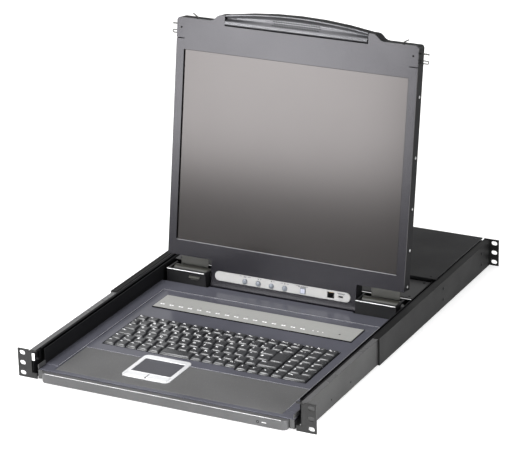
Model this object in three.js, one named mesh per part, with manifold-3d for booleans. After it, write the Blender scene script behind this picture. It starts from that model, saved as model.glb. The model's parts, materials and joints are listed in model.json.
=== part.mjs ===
// A one-unit 19-inch rack console with a built-in KVM switch: a drawer with keyboard, touchpad and a
// flip-up screen, carried on telescopic slides in front of the switch's own housing.
// Millimetres. X runs to the right, Y to the rear of the rack, Z up. While the pieces are built,
// y = 0 is the front face of the front rack ears, x = 0 the middle of the rack, and z = 0 the lower
// edge of the ears. The whole group is then moved along Y, so the origin is under its middle.
import * as THREE from "three";
import { mergeVertices } from "three/addons/utils/BufferGeometryUtils.js";
import Module from "manifold-3d";

const wasm = await Module();
wasm.setup();

// ---------------------------------------------------------------- driving dimensions
const GAP = 0.3; // air between two pieces that meet
const SHEET = 1.5; // steel sheet of pans, walls and rails

// rack interface
const EAR_OUTER = 240; // half of the 480 mm front width
const EAR_INNER = 209;
const EAR_HEIGHT = 44; // one rack unit
const EAR_SHEET = 2;
const EAR_WINDOW = { z0: 8.6, z1: 42 }; // lets the slides and the screen's latches through
const HOLE_X = 232.55; // half of the 465.1 mm hole spacing
const HOLE_PITCH = 15.875;
const SLOT_WIDTH = 10;
const SLOT_HEIGHT = 7;
const RACK_DEPTH = 676.2; // front face of the front ears to rear face of the rear ears

// fixed rails, telescopic slides and rear brackets (distances from the middle plane)
const BRACKET_OUTER = 222.8;
const BRACKET_INNER = 217;
const RAIL_OUTER = 216.7;
const RAIL_INNER = 211;
const RAIL_BOTTOM = 1.8;
const RAIL_TOP = 41.4;
const RAIL_FRONT = 2.3;
const RAIL_REAR = 672;
const SLEEVE_OUTER = 225.1;
const SLEEVE_INNER = 215;
const SLEEVE_SHEET = 1.2;
const SLEEVE_FRONT = 245;
const MID_SLIDE = { outer: 214.6, inner: 210.6, z0: 9, z1: 26, y0: 60, y1: 430 };
const INNER_SLIDE = { outer: 210.1, inner: 207.5, z0: 11.5, z1: 23.5, y0: 30, y1: 420 };
const RACE = { lip: 1.2, inset: 3 }; // the slides' rolled edges and ball grooves
const LATCH_SLOT = { width: 4, z0: 26 };

// drawer
const WALL_OUTER = 207.2; // drawer side walls
const WALL_TOP = 40.4;
const WALL_FRONT = 19.5;
const DRAWER_REAR = 484;
const DRAWER_BOTTOM = 1.6;
const LIP_FRONT = -9.3;
const LIP_REAR = 0.7;
const LIP_HALF = 198;
const LIP_BOTTOM = 0.6;
const LIP_TOP = 15.3;
const LIP_CORNER = 8;
const DECK_TOP = 16.5;
const DECK_SHEET = 2;
const DECK_STEP = 1.2; // height of the raised border round the deck
const DECK_BORDER = 184; // where that border starts, from the middle plane
const DECK_STEP_Y = 336.5;
const DECK_REAR = 374;
const DECK_REAR_SIDE = 369.6; // in front of the hinge blocks

// keyboard
const KEY_PITCH = 18.75;
const ROW_PITCH = 19.3;
const KEY_GAP = 0.9;
const KEY_BOTTOM = 14.9;
const KEY_TOP = 19.4;
const KEY_TAPER = 1.6; // how much the key top draws in on each side
const WEB_TOP = 15.7;
const WEB_INSET = 2.4;
const KEYS_LEFT = -167.5;
const KEYS_FRONT = 119; // front of the main block
const MAIN_RIGHT = 110.2;
const PAD_LEFT = 111.6; // numeric pad
const PAD_FRONT = 114;
const PAD_PITCH_X = 18.9;
const PAD_PITCH_Y = 19.6;
const WELL_MARGIN = 1.2;
const KEY_BASE = { y0: 110, z0: 9.8, z1: 12.3 };

// touchpad, palm rest and port panel on the deck
const TOUCH = {
  x0: -88,
  x1: -10,
  y0: 31,
  y1: 109,
  z0: 13.2,
  z1: 17.3,
  padX0: -81.5, // the pad itself
  padX1: -16.5,
  padY0: 51.5,
  padY1: 98.5,
  side: 4, // the frame's rim beside the buttons, in front of them, and the bar behind them
  front: 3,
  bar: 2.5,
};
const TOUCH_SPLIT = -49;
const TOUCH_CORNER = 8;
const PALM = { x: 183, y0: 9, y1: 97, top: 16.3, sheet: 1.6 };
const PANEL = { x: 167, y0: 271, y1: 318, z0: 16.8, z1: 18 };
const RESET = { x: 141, y: 288, z0: 12.6, radius: 1.5 };

// screen, measured from the hinge axis: "up" along the panel, "out" towards the user
const HINGE_Y = 391.7;
const HINGE_Z = 31;
const LEAN = 8.68; // degrees the open screen leans back
const LCD_HALF = 201.5;
const LCD_FACE = 10.5; // out
const LCD_BACK = -11.5;
const LCD_FOOT = -18.2; // up
const LCD_SHOULDER = 399.8;
const LCD_RISE = 409.8;
const RISE_X = [146, 126];
const NOTCH_X = 124;
const NOTCH_UP = 25.8;
const BEZEL_SHEET = 2.5;
const SHELL_SHEET = 2;
const SCREEN = { x: 188.15, up0: 49.9, up1: 351 };
const HANDLE = { x: 119.5, up0: 394.3, upEnd: 410.8, upMiddle: 419.9 };
const CORNER_LCD = 5;
const SIDE_SLOT = { x: 188, up0: 367.2, up1: 368.4 }; // dark slots in the bezel's sides
const LCD_PANEL = { x: 191, up0: 46, up1: 356, back: -3 };

// control strip under the screen
const STRIP = { x0: -117, x1: 115, up0: -4.7, up1: 10.3, out: 10.9 };
const BUTTON_RADIUS = 4.25;
const BUTTON_X = [-64.7, -41.6, -18.8, 4];
const BUTTON_UP = 0.6;
const POWER_BUTTON = { x: 35, up: 1.5, half: 4.5 };
const JACK = { x0: 76, x1: 88, up0: -2.2, up1: 7.6 };
const SWITCH = { x: 99, up: 2.5, halfX: 1.6, halfUp: 1.1, slotX: 4 };

// screen corner latches
const LATCH = { tip: 216, root: 168, out0: -1.1, out1: 0.7, prongs: [374.3, 387.6], prong: 1.8, throw: 12 };

// hinges
const HINGE_BLOCK = { x0: 128, x1: 196, y0: 370, y1: 402, z0: 3.4, top: 40.6, cheek: 3.2, wall: 2.2 };
const BARREL = { x0: 132, x1: 192, radius: 8 };
const PIN_RADIUS = 3;
const ARM = { x0: 140, x1: 188, end: 62, sheet: 1.2 };

// switch housing behind the drawer
const HOUSING = { x: 209.5, y0: 489, y1: 678, z0: 1.6, z1: 41.6 };
const COVER = { x: 211.5, y0: 485.5, y1: 678.5, z0: 42, z1: 43.5 };
const REAR_PLATE = { x: 204.8, y0: 414.5, y1: 483.6, z0: 36.5, z1: 38 };
const PORTS = { count: 8, pitch: 33, x0: -188, width: 17, height: 8.5, rows: [12.5, 28.5], proud: 5 };
const CONSOLE = { x: 97, z: 20 };
const INLET = { x: 182, z: 21, width: 27, height: 20, depth: 16 };
const ROCKER = { x: 145, z: 21, halfX: 6.2, halfZ: 9.6 };

// ---------------------------------------------------------------- solids
function box(x0, x1, y0, y1, z0, z1) {
  const geometry = new THREE.BoxGeometry(x1 - x0, y1 - y0, z1 - z0);
  return geometry.translate((x0 + x1) / 2, (y0 + y1) / 2, (z0 + z1) / 2);
}

// A cylinder along one axis, given its two ends on that axis and its centre on the other two.
function rod(axis, from, to, radius, a, b, sides = 24) {
  const geometry = new THREE.CylinderGeometry(radius, radius, to - from, sides);
  const middle = (from + to) / 2;
  if (axis === "x") return geometry.rotateZ(Math.PI / 2).translate(middle, a, b);
  if (axis === "y") return geometry.translate(a, middle, b);
  return geometry.rotateX(Math.PI / 2).translate(a, b, middle);
}

// An outline in the XY plane raised from z0 to z1.
function slab(shape, z0, z1, curveSegments = 6) {
  const settings = { depth: z1 - z0, bevelEnabled: false, curveSegments };
  return new THREE.ExtrudeGeometry(shape, settings).translate(0, 0, z0);
}

// An outline drawn as (y, z) and drawn out along X.
function prismX(points, x0, x1) {
  const shape = new THREE.Shape(points.map(([y, z]) => new THREE.Vector2(y, z)));
  const turn = new THREE.Matrix4().makeBasis(
    new THREE.Vector3(0, 1, 0),
    new THREE.Vector3(0, 0, 1),
    new THREE.Vector3(1, 0, 0),
  );
  return slab(shape, 0, x1 - x0).applyMatrix4(turn).translate(x0, 0, 0);
}

// An outline drawn as (x, z) and drawn out along Y.
function prismY(shape, y0, y1, curveSegments = 6) {
  const turn = new THREE.Matrix4().makeBasis(
    new THREE.Vector3(1, 0, 0),
    new THREE.Vector3(0, 0, 1),
    new THREE.Vector3(0, -1, 0),
  );
  return slab(shape, 0, y1 - y0, curveSegments).applyMatrix4(turn).translate(0, y1, 0);
}

function roundedRect(x0, x1, y0, y1, radius) {
  const shape = new THREE.Shape();
  shape.moveTo(x0 + radius, y0);
  shape.lineTo(x1 - radius, y0);
  shape.absarc(x1 - radius, y0 + radius, radius, -Math.PI / 2, 0, false);
  shape.lineTo(x1, y1 - radius);
  shape.absarc(x1 - radius, y1 - radius, radius, 0, Math.PI / 2, false);
  shape.lineTo(x0 + radius, y1);
  shape.absarc(x0 + radius, y1 - radius, radius, Math.PI / 2, Math.PI, false);
  shape.lineTo(x0, y0 + radius);
  shape.absarc(x0 + radius, y0 + radius, radius, Math.PI, Math.PI * 1.5, false);
  return shape;
}

// Two ends in rising order, whichever side of the middle they lie on.
const ordered = (a, b) => [Math.min(a, b), Math.max(a, b)];

function solid(geometry) {
  const bare = geometry.clone();
  bare.deleteAttribute("normal");
  bare.deleteAttribute("uv");
  const merged = mergeVertices(bare, 1e-4);
  const vertProperties = new Float32Array(merged.attributes.position.array);
  const triVerts = new Uint32Array(merged.index.array);
  return new wasm.Manifold(new wasm.Mesh({ numProp: 3, vertProperties, triVerts }));
}

function geometryOf(manifold) {
  const mesh = manifold.getMesh();
  const geometry = new THREE.BufferGeometry();
  geometry.setAttribute("position", new THREE.BufferAttribute(new Float32Array(mesh.vertProperties), 3));
  geometry.setIndex(new THREE.BufferAttribute(new Uint32Array(mesh.triVerts), 1));
  const faceted = geometry.toNonIndexed();
  faceted.computeVertexNormals();
  return faceted;
}

const joined = (geometries) => geometries.map(solid).reduce((all, next) => all.add(next));

// The pieces in "add" joined into one, less everything in "take".
function made(add, take = []) {
  const whole = joined(add);
  return geometryOf(take.length ? whole.subtract(joined(take)) : whole);
}

// ---------------------------------------------------------------- materials and nodes
const FINISH = {
  rail_paint: ["#2b2d30", 0.55, 0.3],
  chassis_paint: ["#1c1d20", 0.6, 0.2],
  slide_steel: ["#8d9094", 0.35, 0.9],
  deck_paint: ["#4c4e5c", 0.5, 0.15],
  palm_paint: ["#5c5f60", 0.6, 0.1],
  key_plastic: ["#3a3c41", 0.55, 0],
  silver_panel: ["#c4c4bd", 0.35, 0.6],
  touch_silver: ["#dcdde0", 0.4, 0.4],
  touch_pad: ["#4b4d55", 0.7, 0],
  bezel_paint: ["#474955", 0.5, 0.15],
  screen_glass: ["#1a1a1c", 0.08, 0],
  handle_plastic: ["#3a3c42", 0.25, 0.1],
  button_metal: ["#8b93a5", 0.3, 0.6],
  hinge_black: ["#141416", 0.5, 0.1],
  spring_steel: ["#d0d2d4", 0.2, 1],
  board_green: ["#1f5a3a", 0.6, 0],
  port_plastic: ["#22242a", 0.5, 0],
};

const product = new THREE.Group();
const screen = new THREE.Group(); // its own axes: X, up the panel, out of the panel
screen.position.set(0, HINGE_Y, HINGE_Z);
screen.rotation.x = THREE.MathUtils.degToRad(90 - LEAN);
product.add(screen);

function place(name, finish, geometry, parent = product) {
  const [color, roughness, metalness] = FINISH[finish];
  const mesh = new THREE.Mesh(geometry, new THREE.MeshStandardMaterial({ color, roughness, metalness }));
  mesh.name = name;
  parent.add(mesh);
}

// A piece and its mirror image on the other side: the builder gets +1 or -1 and works with side(x).
function pair(name, finish, build, parent = product) {
  for (const [label, sign] of [["left", -1], ["right", 1]]) {
    const sided = (x0, x1, ...rest) => box(...ordered(sign * x0, sign * x1), ...rest);
    place(`${label}_${name}`, finish, build(sign, sided), parent);
  }
}

// ---------------------------------------------------------------- rack brackets, rails and slides
// The three oval screw slots of an ear, as cutting tools that run through the sheet.
function earSlots(sign, y0, y1) {
  const middle = EAR_HEIGHT / 2;
  const halfX = SLOT_WIDTH / 2;
  const halfZ = SLOT_HEIGHT / 2;
  return [-1, 0, 1].map((row) => {
    const z = middle + row * HOLE_PITCH;
    const x = sign * HOLE_X;
    const shape = roundedRect(x - halfX, x + halfX, z - halfZ, z + halfZ, halfZ - 0.01);
    return prismY(shape, y0 - 1, y1 + 1, 4);
  });
}

function mountBracket(sign, sided) {
  const wall = sided(BRACKET_OUTER - SHEET, BRACKET_OUTER, 0, RAIL_REAR, RAIL_BOTTOM, RAIL_TOP);
  const top = sided(BRACKET_INNER, BRACKET_OUTER, 0, RAIL_REAR, RAIL_TOP - SHEET, RAIL_TOP);
  const bottom = sided(BRACKET_INNER, BRACKET_OUTER, 0, RAIL_REAR, RAIL_BOTTOM, RAIL_BOTTOM + SHEET);
  const ear = sided(EAR_INNER, EAR_OUTER, 0, EAR_SHEET, 0, EAR_HEIGHT);
  const { z0, z1 } = EAR_WINDOW;
  const window = sided(EAR_INNER - 1, BRACKET_INNER + GAP, -1, EAR_SHEET + 1, z0, z1);
  const nick = sided(BRACKET_INNER + 1, BRACKET_OUTER - 1, -1, EAR_SHEET + 1, EAR_HEIGHT - 2, EAR_HEIGHT + 1);
  return made([wall, top, bottom, ear], [window, nick, ...earSlots(sign, 0, EAR_SHEET)]);
}

// A channel that opens towards the drawer; two slots near the front let the screen's latches in.
function rail(sign, sided) {
  const web = sided(RAIL_OUTER - SHEET, RAIL_OUTER, RAIL_FRONT, RAIL_REAR, RAIL_BOTTOM, RAIL_TOP);
  const top = sided(RAIL_INNER, RAIL_OUTER, RAIL_FRONT, RAIL_REAR, RAIL_TOP - SHEET, RAIL_TOP);
  const bottom = sided(RAIL_INNER, RAIL_OUTER, RAIL_FRONT, RAIL_REAR, RAIL_BOTTOM, RAIL_BOTTOM + SHEET);
  const { width, z0 } = LATCH_SLOT;
  const slots = LATCH.prongs.map((up) => {
    const y = HINGE_Y - up;
    return sided(RAIL_INNER - 1, RAIL_OUTER + 1, y - width / 2, y + width / 2, z0, RAIL_TOP + 1);
  });
  return made([web, top, bottom], slots);
}

// The loose middle member of a slide: a channel around the drawer's own member.
function midSlide(sign, sided) {
  const { outer, inner, z0, z1, y0, y1 } = MID_SLIDE;
  const web = sided(outer - RACE.lip, outer, y0, y1, z0, z1);
  const low = sided(inner, outer, y0, y1, z0, z0 + RACE.lip);
  const high = sided(inner, outer, y0, y1, z1 - RACE.lip, z1);
  return made([web, low, high]);
}

function innerSlide(sign, sided) {
  const { outer, inner, z0, z1, y0, y1 } = INNER_SLIDE;
  const groove = sided(outer - RACE.lip, outer + 1, y0 - 1, y1 + 1, z0 + RACE.inset, z1 - RACE.inset);
  return made([sided(inner, outer, y0, y1, z0, z1)], [groove]);
}

// The depth-adjusting bracket that wraps the rear of a rail and carries a rear ear.
function rearBracket(sign, sided) {
  const z0 = RAIL_BOTTOM - GAP - SLEEVE_SHEET;
  const z1 = RAIL_TOP + GAP + SLEEVE_SHEET;
  const rear = RACK_DEPTH;
  const wall = sided(BRACKET_OUTER + GAP, SLEEVE_OUTER, SLEEVE_FRONT, rear, z0, z1);
  const top = sided(SLEEVE_INNER, SLEEVE_OUTER, SLEEVE_FRONT, rear, z1 - SLEEVE_SHEET, z1);
  const bottom = sided(SLEEVE_INNER, SLEEVE_OUTER, SLEEVE_FRONT, rear, z0, z0 + SLEEVE_SHEET);
  const ear = sided(SLEEVE_INNER, EAR_OUTER, rear - EAR_SHEET, rear, 0, EAR_HEIGHT);
  return made([wall, top, bottom, ear], earSlots(sign, rear - EAR_SHEET, rear));
}

pair("mount_bracket", "rail_paint", mountBracket);
pair("rail", "rail_paint", rail);
pair("mid_slide", "slide_steel", midSlide);
pair("inner_slide", "slide_steel", innerSlide);
pair("rear_bracket", "rail_paint", rearBracket);

// ---------------------------------------------------------------- switch housing
function portOutline(x, z, width, height) {
  const slant = 1.2;
  const shape = new THREE.Shape();
  shape.moveTo(x - width / 2 + slant, z - height / 2);
  shape.lineTo(x + width / 2 - slant, z - height / 2);
  shape.lineTo(x + width / 2, z + height / 2);
  shape.lineTo(x - width / 2, z + height / 2);
  return shape;
}

const portCentres = Array.from({ length: PORTS.count }, (_, i) => PORTS.x0 + PORTS.pitch * (i + 0.5));
const wallInside = HOUSING.y1 - SHEET;

function housingPan() {
  const { x, y0, y1, z0, z1 } = HOUSING;
  const outside = box(-x, x, y0, y1, z0, z1);
  const inside = box(-x + SHEET, x - SHEET, y0 + SHEET, y1 - SHEET, z0 + SHEET, z1 + 1);
  const holes = PORTS.rows.flatMap((z) =>
    portCentres.map((px) =>
      prismY(portOutline(px, z, PORTS.width + 2 * GAP, PORTS.height + 2 * GAP), wallInside - 1, y1 + 1),
    ),
  );
  const consoleHole = prismY(
    portOutline(CONSOLE.x, CONSOLE.z, PORTS.width + 2 * GAP, PORTS.height + 2 * GAP),
    wallInside - 1,
    y1 + 1,
  );
  const inletHole = box(
    INLET.x - INLET.width / 2 - GAP,
    INLET.x + INLET.width / 2 + GAP,
    wallInside - 1,
    y1 + 1,
    INLET.z - INLET.height / 2 - GAP,
    INLET.z + INLET.height / 2 + GAP,
  );
  const rockerHole = box(
    ROCKER.x - ROCKER.halfX - GAP,
    ROCKER.x + ROCKER.halfX + GAP,
    wallInside - 1,
    y1 + 1,
    ROCKER.z - ROCKER.halfZ - GAP,
    ROCKER.z + ROCKER.halfZ + GAP,
  );
  return made([outside], [inside, ...holes, consoleHole, inletHole, rockerHole]);
}

// The computer ports, two rows in one stacked block, with the console port at its end: each has a
// D-shaped face that stands out through its hole in the wall.
function portBank() {
  const [low, high] = PORTS.rows;
  const block = box(PORTS.x0 + 2, CONSOLE.x + 15, wallInside - 14, wallInside - GAP, low - 6.5, high + 6.5);
  const face = (x, z) =>
    prismY(portOutline(x, z, PORTS.width, PORTS.height), wallInside - 2, HOUSING.y1 + PORTS.proud);
  const faces = PORTS.rows.flatMap((z) => portCentres.map((x) => face(x, z)));
  return made([block, ...faces, face(CONSOLE.x, CONSOLE.z)]);
}

function powerInlet() {
  const { x, z, width, height, depth } = INLET;
  const rear = HOUSING.y1 + 1.5;
  const body = box(x - width / 2, x + width / 2, rear - 24, rear, z - height / 2, z + height / 2);
  const well = box(x - width / 2 + 2, x + width / 2 - 2, rear - depth, rear + 1, z - 7, z + 7);
  const blade = (dx, dz) => box(x + dx - 1, x + dx + 1, rear - depth - 1, rear - 4, z + dz - 2, z + dz + 2);
  const blades = joined([blade(-7, -1.5), blade(0, 1.5), blade(7, -1.5)]);
  return geometryOf(solid(body).subtract(solid(well)).add(blades));
}

// The rocker: two slanted halves that meet at a ridge, standing in the wall.
function powerRocker() {
  const { x, z, halfX, halfZ } = ROCKER;
  const rear = HOUSING.y1;
  const outline = [
    [rear - 5, z - halfZ + 1.2],
    [rear + 1, z - halfZ + 0.6],
    [rear + 0.6, z],
    [rear + 3.2, z + halfZ - 0.9],
    [rear - 5, z + halfZ - 1.2],
  ];
  return prismX(outline, x - halfX, x + halfX);
}

place("housing_pan", "chassis_paint", housingPan());
place("housing_cover", "chassis_paint", box(-COVER.x, COVER.x, COVER.y0, COVER.y1, COVER.z0, COVER.z1));
place("port_bank", "port_plastic", portBank());
place("power_inlet", "port_plastic", powerInlet());
place("power_rocker", "port_plastic", powerRocker());
const SWITCH_BOARD = [-190, 110, 500, 655, 4.2, 5.8];
const POWER_SUPPLY = [124, 202, 505, 640, 3.4, 35];
place("switch_board", "board_green", box(...SWITCH_BOARD));
place("power_supply", "slide_steel", box(...POWER_SUPPLY));

// ---------------------------------------------------------------- drawer
// The lip that closes the drawer's front, hollow underneath as a finger grip.
function frontLip() {
  const shape = new THREE.Shape();
  shape.moveTo(-LIP_HALF, LIP_REAR);
  shape.lineTo(-LIP_HALF, LIP_FRONT + LIP_CORNER);
  shape.absarc(-LIP_HALF + LIP_CORNER, LIP_FRONT + LIP_CORNER, LIP_CORNER, Math.PI, Math.PI * 1.5, false);
  shape.lineTo(LIP_HALF - LIP_CORNER, LIP_FRONT);
  shape.absarc(LIP_HALF - LIP_CORNER, LIP_FRONT + LIP_CORNER, LIP_CORNER, -Math.PI / 2, 0, false);
  shape.lineTo(LIP_HALF, LIP_REAR);
  const grip = box(-LIP_HALF + 10, LIP_HALF - 10, LIP_FRONT + 2.5, LIP_REAR + 1, 0, 8);
  return made([slab(shape, LIP_BOTTOM, LIP_TOP)], [grip]);
}

const wellLeft = KEYS_LEFT - WELL_MARGIN;
const wellRight = PAD_LEFT + 3 * PAD_PITCH_X + WELL_MARGIN;
const wellRear = PAD_FRONT + 6 * PAD_PITCH_Y + WELL_MARGIN;
const arrowLeft = 53.6;

// The touchpad's frame outline grown by the gap, as a cutting tool.
const touchHole = (z0, z1) =>
  slab(roundedRect(TOUCH.x0 - GAP, TOUCH.x1 + GAP, TOUCH.y0 - GAP, TOUCH.y1 + GAP, TOUCH_CORNER), z0, z1, 4);

function deck() {
  const edge = WALL_OUTER - SHEET - GAP;
  const z0 = DECK_TOP - DECK_SHEET;
  const plate = box(-edge, edge, LIP_REAR + GAP, DECK_REAR_SIDE, z0, DECK_TOP);
  const tongue = box(-NOTCH_X, NOTCH_X, DECK_REAR_SIDE - 1, DECK_REAR, z0, DECK_TOP + DECK_STEP);
  const borders = [-1, 1].map((s) => {
    const ends = ordered(s * DECK_BORDER, s * edge);
    return box(...ends, WALL_FRONT, DECK_REAR_SIDE, z0, DECK_TOP + DECK_STEP);
  });
  const rearBorder = box(-edge, edge, DECK_STEP_Y, DECK_REAR_SIDE, z0, DECK_TOP + DECK_STEP);
  const mainWell = box(wellLeft, wellRight, KEYS_FRONT - WELL_MARGIN, wellRear, z0 - 1, DECK_TOP + 3);
  const rightWell = box(arrowLeft, wellRight, PAD_FRONT - WELL_MARGIN, wellRear, z0 - 1, DECK_TOP + 3);
  const palm = box(-PALM.x - GAP, PALM.x + GAP, PALM.y0 - GAP, PALM.y1 + GAP, z0 - 1, DECK_TOP + 3);
  const touch = touchHole(z0 - 1, DECK_TOP + 3);
  const reset = rod("z", z0 - 1, DECK_TOP + 3, RESET.radius + GAP, RESET.x, RESET.y, 12);
  return made([plate, tongue, ...borders, rearBorder], [mainWell, rightWell, palm, touch, reset]);
}

function palmRest() {
  const plate = box(-PALM.x, PALM.x, PALM.y0, PALM.y1, PALM.top - PALM.sheet, PALM.top);
  return made([plate], [touchHole(PALM.top - 3, PALM.top + 1)]);
}

function touchpadFrame() {
  const { x0, x1, y0, y1, padX0, padX1, padY0, padY1, z0, z1, side, front, bar } = TOUCH;
  const ring = slab(roundedRect(x0, x1, y0, y1, TOUCH_CORNER), z0, z1, 4);
  const pad = slab(roundedRect(padX0, padX1, padY0, padY1, 2), z0 - 1, z1 + 1, 2);
  const buttons = slab(roundedRect(x0 + side, x1 - side, y0 + front, padY0 - bar, 3), z0 - 1, z1 + 1, 2);
  return made([ring], [pad, buttons]);
}

function touchButton(x0, x1) {
  const { y0, padY0, z0, z1, front, bar } = TOUCH;
  return slab(roundedRect(x0, x1, y0 + front + GAP, padY0 - bar - GAP, 2.5), z0 + 1, z1 + 0.3, 3);
}

function portPanel() {
  const hole = rod("z", PANEL.z0 - 1, PANEL.z1 + 1, RESET.radius + GAP, RESET.x, RESET.y, 12);
  return made([box(-PANEL.x, PANEL.x, PANEL.y0, PANEL.y1, PANEL.z0, PANEL.z1)], [hole]);
}

const wallInner = WALL_OUTER - SHEET;
const panEdge = wallInner - GAP;
place("drawer_pan", "chassis_paint",
  box(-panEdge, panEdge, LIP_REAR + GAP, DRAWER_REAR, DRAWER_BOTTOM, DRAWER_BOTTOM + SHEET));
pair("side_wall", "rail_paint", (sign, sided) => {
  const wall = sided(wallInner, WALL_OUTER, WALL_FRONT, DRAWER_REAR, DRAWER_BOTTOM, WALL_TOP);
  const toe = sided(wallInner, WALL_OUTER, LIP_REAR + GAP, WALL_FRONT + 1, DRAWER_BOTTOM, LIP_TOP - 1);
  return made([wall, toe]);
});
place("front_lip", "deck_paint", frontLip());
place("deck", "deck_paint", deck());
place("palm_rest", "palm_paint", palmRest());
place("touchpad_frame", "touch_silver", touchpadFrame());
const padOutline = roundedRect(
  TOUCH.padX0 + GAP, TOUCH.padX1 - GAP, TOUCH.padY0 + GAP, TOUCH.padY1 - GAP, 2);
place("touchpad", "touch_pad", slab(padOutline, TOUCH.z0 + 0.4, TOUCH.z1 - 0.9, 2));
place("left_touch_button", "touch_silver", touchButton(TOUCH.x0 + TOUCH.side + GAP, TOUCH_SPLIT - GAP));
place("right_touch_button", "touch_silver", touchButton(TOUCH_SPLIT + GAP, TOUCH.x1 - TOUCH.side - GAP));
place("port_panel", "silver_panel", portPanel());
place("reset_button", "key_plastic",
  rod("z", RESET.z0, PANEL.z1 - 0.3, RESET.radius, RESET.x, RESET.y, 12));
place("keyboard_base", "chassis_paint",
  box(wellLeft - 3, wellRight + 3, KEY_BASE.y0, wellRear + 3, KEY_BASE.z0, KEY_BASE.z1));
place("drawer_rear_cover", "rail_paint", box(
  -REAR_PLATE.x, REAR_PLATE.x, REAR_PLATE.y0, REAR_PLATE.y1, REAR_PLATE.z0, REAR_PLATE.z1));

// ---------------------------------------------------------------- keys
// One keycap: a block whose top is smaller than its foot.
function keycap(x0, x1, y0, y1) {
  const a = [x0 + KEY_GAP / 2, x1 - KEY_GAP / 2, y0 + KEY_GAP / 2, y1 - KEY_GAP / 2];
  const cap = box(a[0], a[1], a[2], a[3], KEY_BOTTOM, KEY_TOP);
  const middleX = (a[0] + a[1]) / 2;
  const middleY = (a[2] + a[3]) / 2;
  const points = cap.attributes.position;
  for (let i = 0; i < points.count; i++) {
    if (points.getZ(i) < (KEY_BOTTOM + KEY_TOP) / 2) continue;
    points.setX(i, points.getX(i) - Math.sign(points.getX(i) - middleX) * KEY_TAPER);
    points.setY(i, points.getY(i) - Math.sign(points.getY(i) - middleY) * KEY_TAPER);
  }
  return cap;
}

// A row of keys of the given widths (in key pitches) from x0, held together by a web at their feet.
function keyRow(x0, y0, depth, widths, pitch = KEY_PITCH) {
  let x = x0;
  const caps = widths.map((width) => {
    const cap = keycap(x, x + width * pitch, y0, y0 + depth);
    x += width * pitch;
    return cap;
  });
  const web = box(x0 + WEB_INSET, x - WEB_INSET, y0 + WEB_INSET, y0 + depth - WEB_INSET, KEY_BOTTOM, WEB_TOP);
  return [...caps, web];
}

const ones = (count) => Array(count).fill(1);
const KEY_WIDTHS = { // first keys of the rows, and the tall enter key, in key pitches
  grave: 0.7,
  tab: 1.2,
  capsLock: 1.45,
  leftShift: 1,
  space: 2.75,
  enter: 1.25,
};
const rowY = (row) => KEYS_FRONT + row * ROW_PITCH;
const functionDepth = wellRear - WELL_MARGIN - rowY(5);
const across = MAIN_RIGHT - KEYS_LEFT;
const inPitches = (width) => width / KEY_PITCH;
const spaceLeft = KEYS_LEFT + 5 * KEY_PITCH;
const spaceRight = spaceLeft + KEY_WIDTHS.space * KEY_PITCH;
const enterLeft = MAIN_RIGHT - KEY_WIDTHS.enter * KEY_PITCH;
const widthTo = (x1, taken) => inPitches(x1 - KEYS_LEFT) - taken;

// A letter row: a first key of its own width, single keys, and a last key that reaches to x1.
function letterRow(row, first, singles, x1) {
  const last = widthTo(x1, first + singles);
  return keyRow(KEYS_LEFT, rowY(row), ROW_PITCH, [first, ...ones(singles), last]);
}

// The home row carries the tall enter key, which reaches up beside the row above.
function homeRow() {
  const letters = letterRow(2, KEY_WIDTHS.capsLock, 11, enterLeft);
  const enter = keycap(enterLeft, MAIN_RIGHT, rowY(2), rowY(4));
  const link = box(enterLeft - 6, enterLeft + 6, rowY(2) + 6, rowY(2) + 12, KEY_BOTTOM, WEB_TOP);
  return made([...letters, enter, link]);
}

// The keys right of the space bar and the three arrow keys, which stand a little lower.
function rightControlKeys() {
  const controls = keyRow(spaceRight, rowY(0), ROW_PITCH, ones(4), (arrowLeft - spaceRight) / 4);
  const arrowX = arrowLeft + WELL_MARGIN;
  const arrows = keyRow(arrowX, PAD_FRONT, ROW_PITCH, ones(3), (MAIN_RIGHT - arrowX) / 3);
  const link = box(arrowLeft - 6, arrowLeft + 6, rowY(0) + 4, rowY(0) + 10, KEY_BOTTOM, WEB_TOP);
  return made([...controls, ...arrows, link]);
}

const functionRow = keyRow(KEYS_LEFT, rowY(5), functionDepth, ones(15), across / 15);
place("function_keys", "key_plastic", made(functionRow));
place("number_keys", "key_plastic", made(letterRow(4, KEY_WIDTHS.grave, 13, MAIN_RIGHT)));
place("top_letter_keys", "key_plastic", made(letterRow(3, KEY_WIDTHS.tab, 11, enterLeft)));
place("home_letter_keys", "key_plastic", homeRow());
place("lower_letter_keys", "key_plastic", made(letterRow(1, KEY_WIDTHS.leftShift, 12, MAIN_RIGHT)));
place("left_control_keys", "key_plastic", made(keyRow(KEYS_LEFT, rowY(0), ROW_PITCH, ones(5))));
place("space_bar", "key_plastic", made([keycap(spaceLeft, spaceRight, rowY(0), rowY(1))]));
place("right_control_keys", "key_plastic", rightControlKeys());

function numericPad() {
  const rows = Array.from({ length: 6 }, (_, row) =>
    keyRow(PAD_LEFT, PAD_FRONT + row * PAD_PITCH_Y, PAD_PITCH_Y, row ? ones(3) : [1, 2], PAD_PITCH_X),
  );
  const spine = box(PAD_LEFT + 6, PAD_LEFT + 10, PAD_FRONT + 4, wellRear - 5, KEY_BOTTOM, WEB_TOP);
  return made([...rows.flat(), spine]);
}
place("numeric_keys", "key_plastic", numericPad());

// ---------------------------------------------------------------- hinges
function hingeBlock(sign, sided) {
  const { x0, x1, y0, y1, z0, top, cheek, wall } = HINGE_BLOCK;
  const base = sided(x0, x1, y0, y1, z0, z0 + 4);
  const front = sided(x0, x1, y0, y0 + wall, z0, top);
  const cheeks = [x0, x1 - cheek].map((x) => sided(x, x + cheek, y0, y1, z0, HINGE_Z + BARREL.radius));
  const bore = rod("x", -LCD_HALF, LCD_HALF, PIN_RADIUS + GAP, HINGE_Y, HINGE_Z);
  return made([base, front, ...cheeks], [bore]);
}

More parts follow.
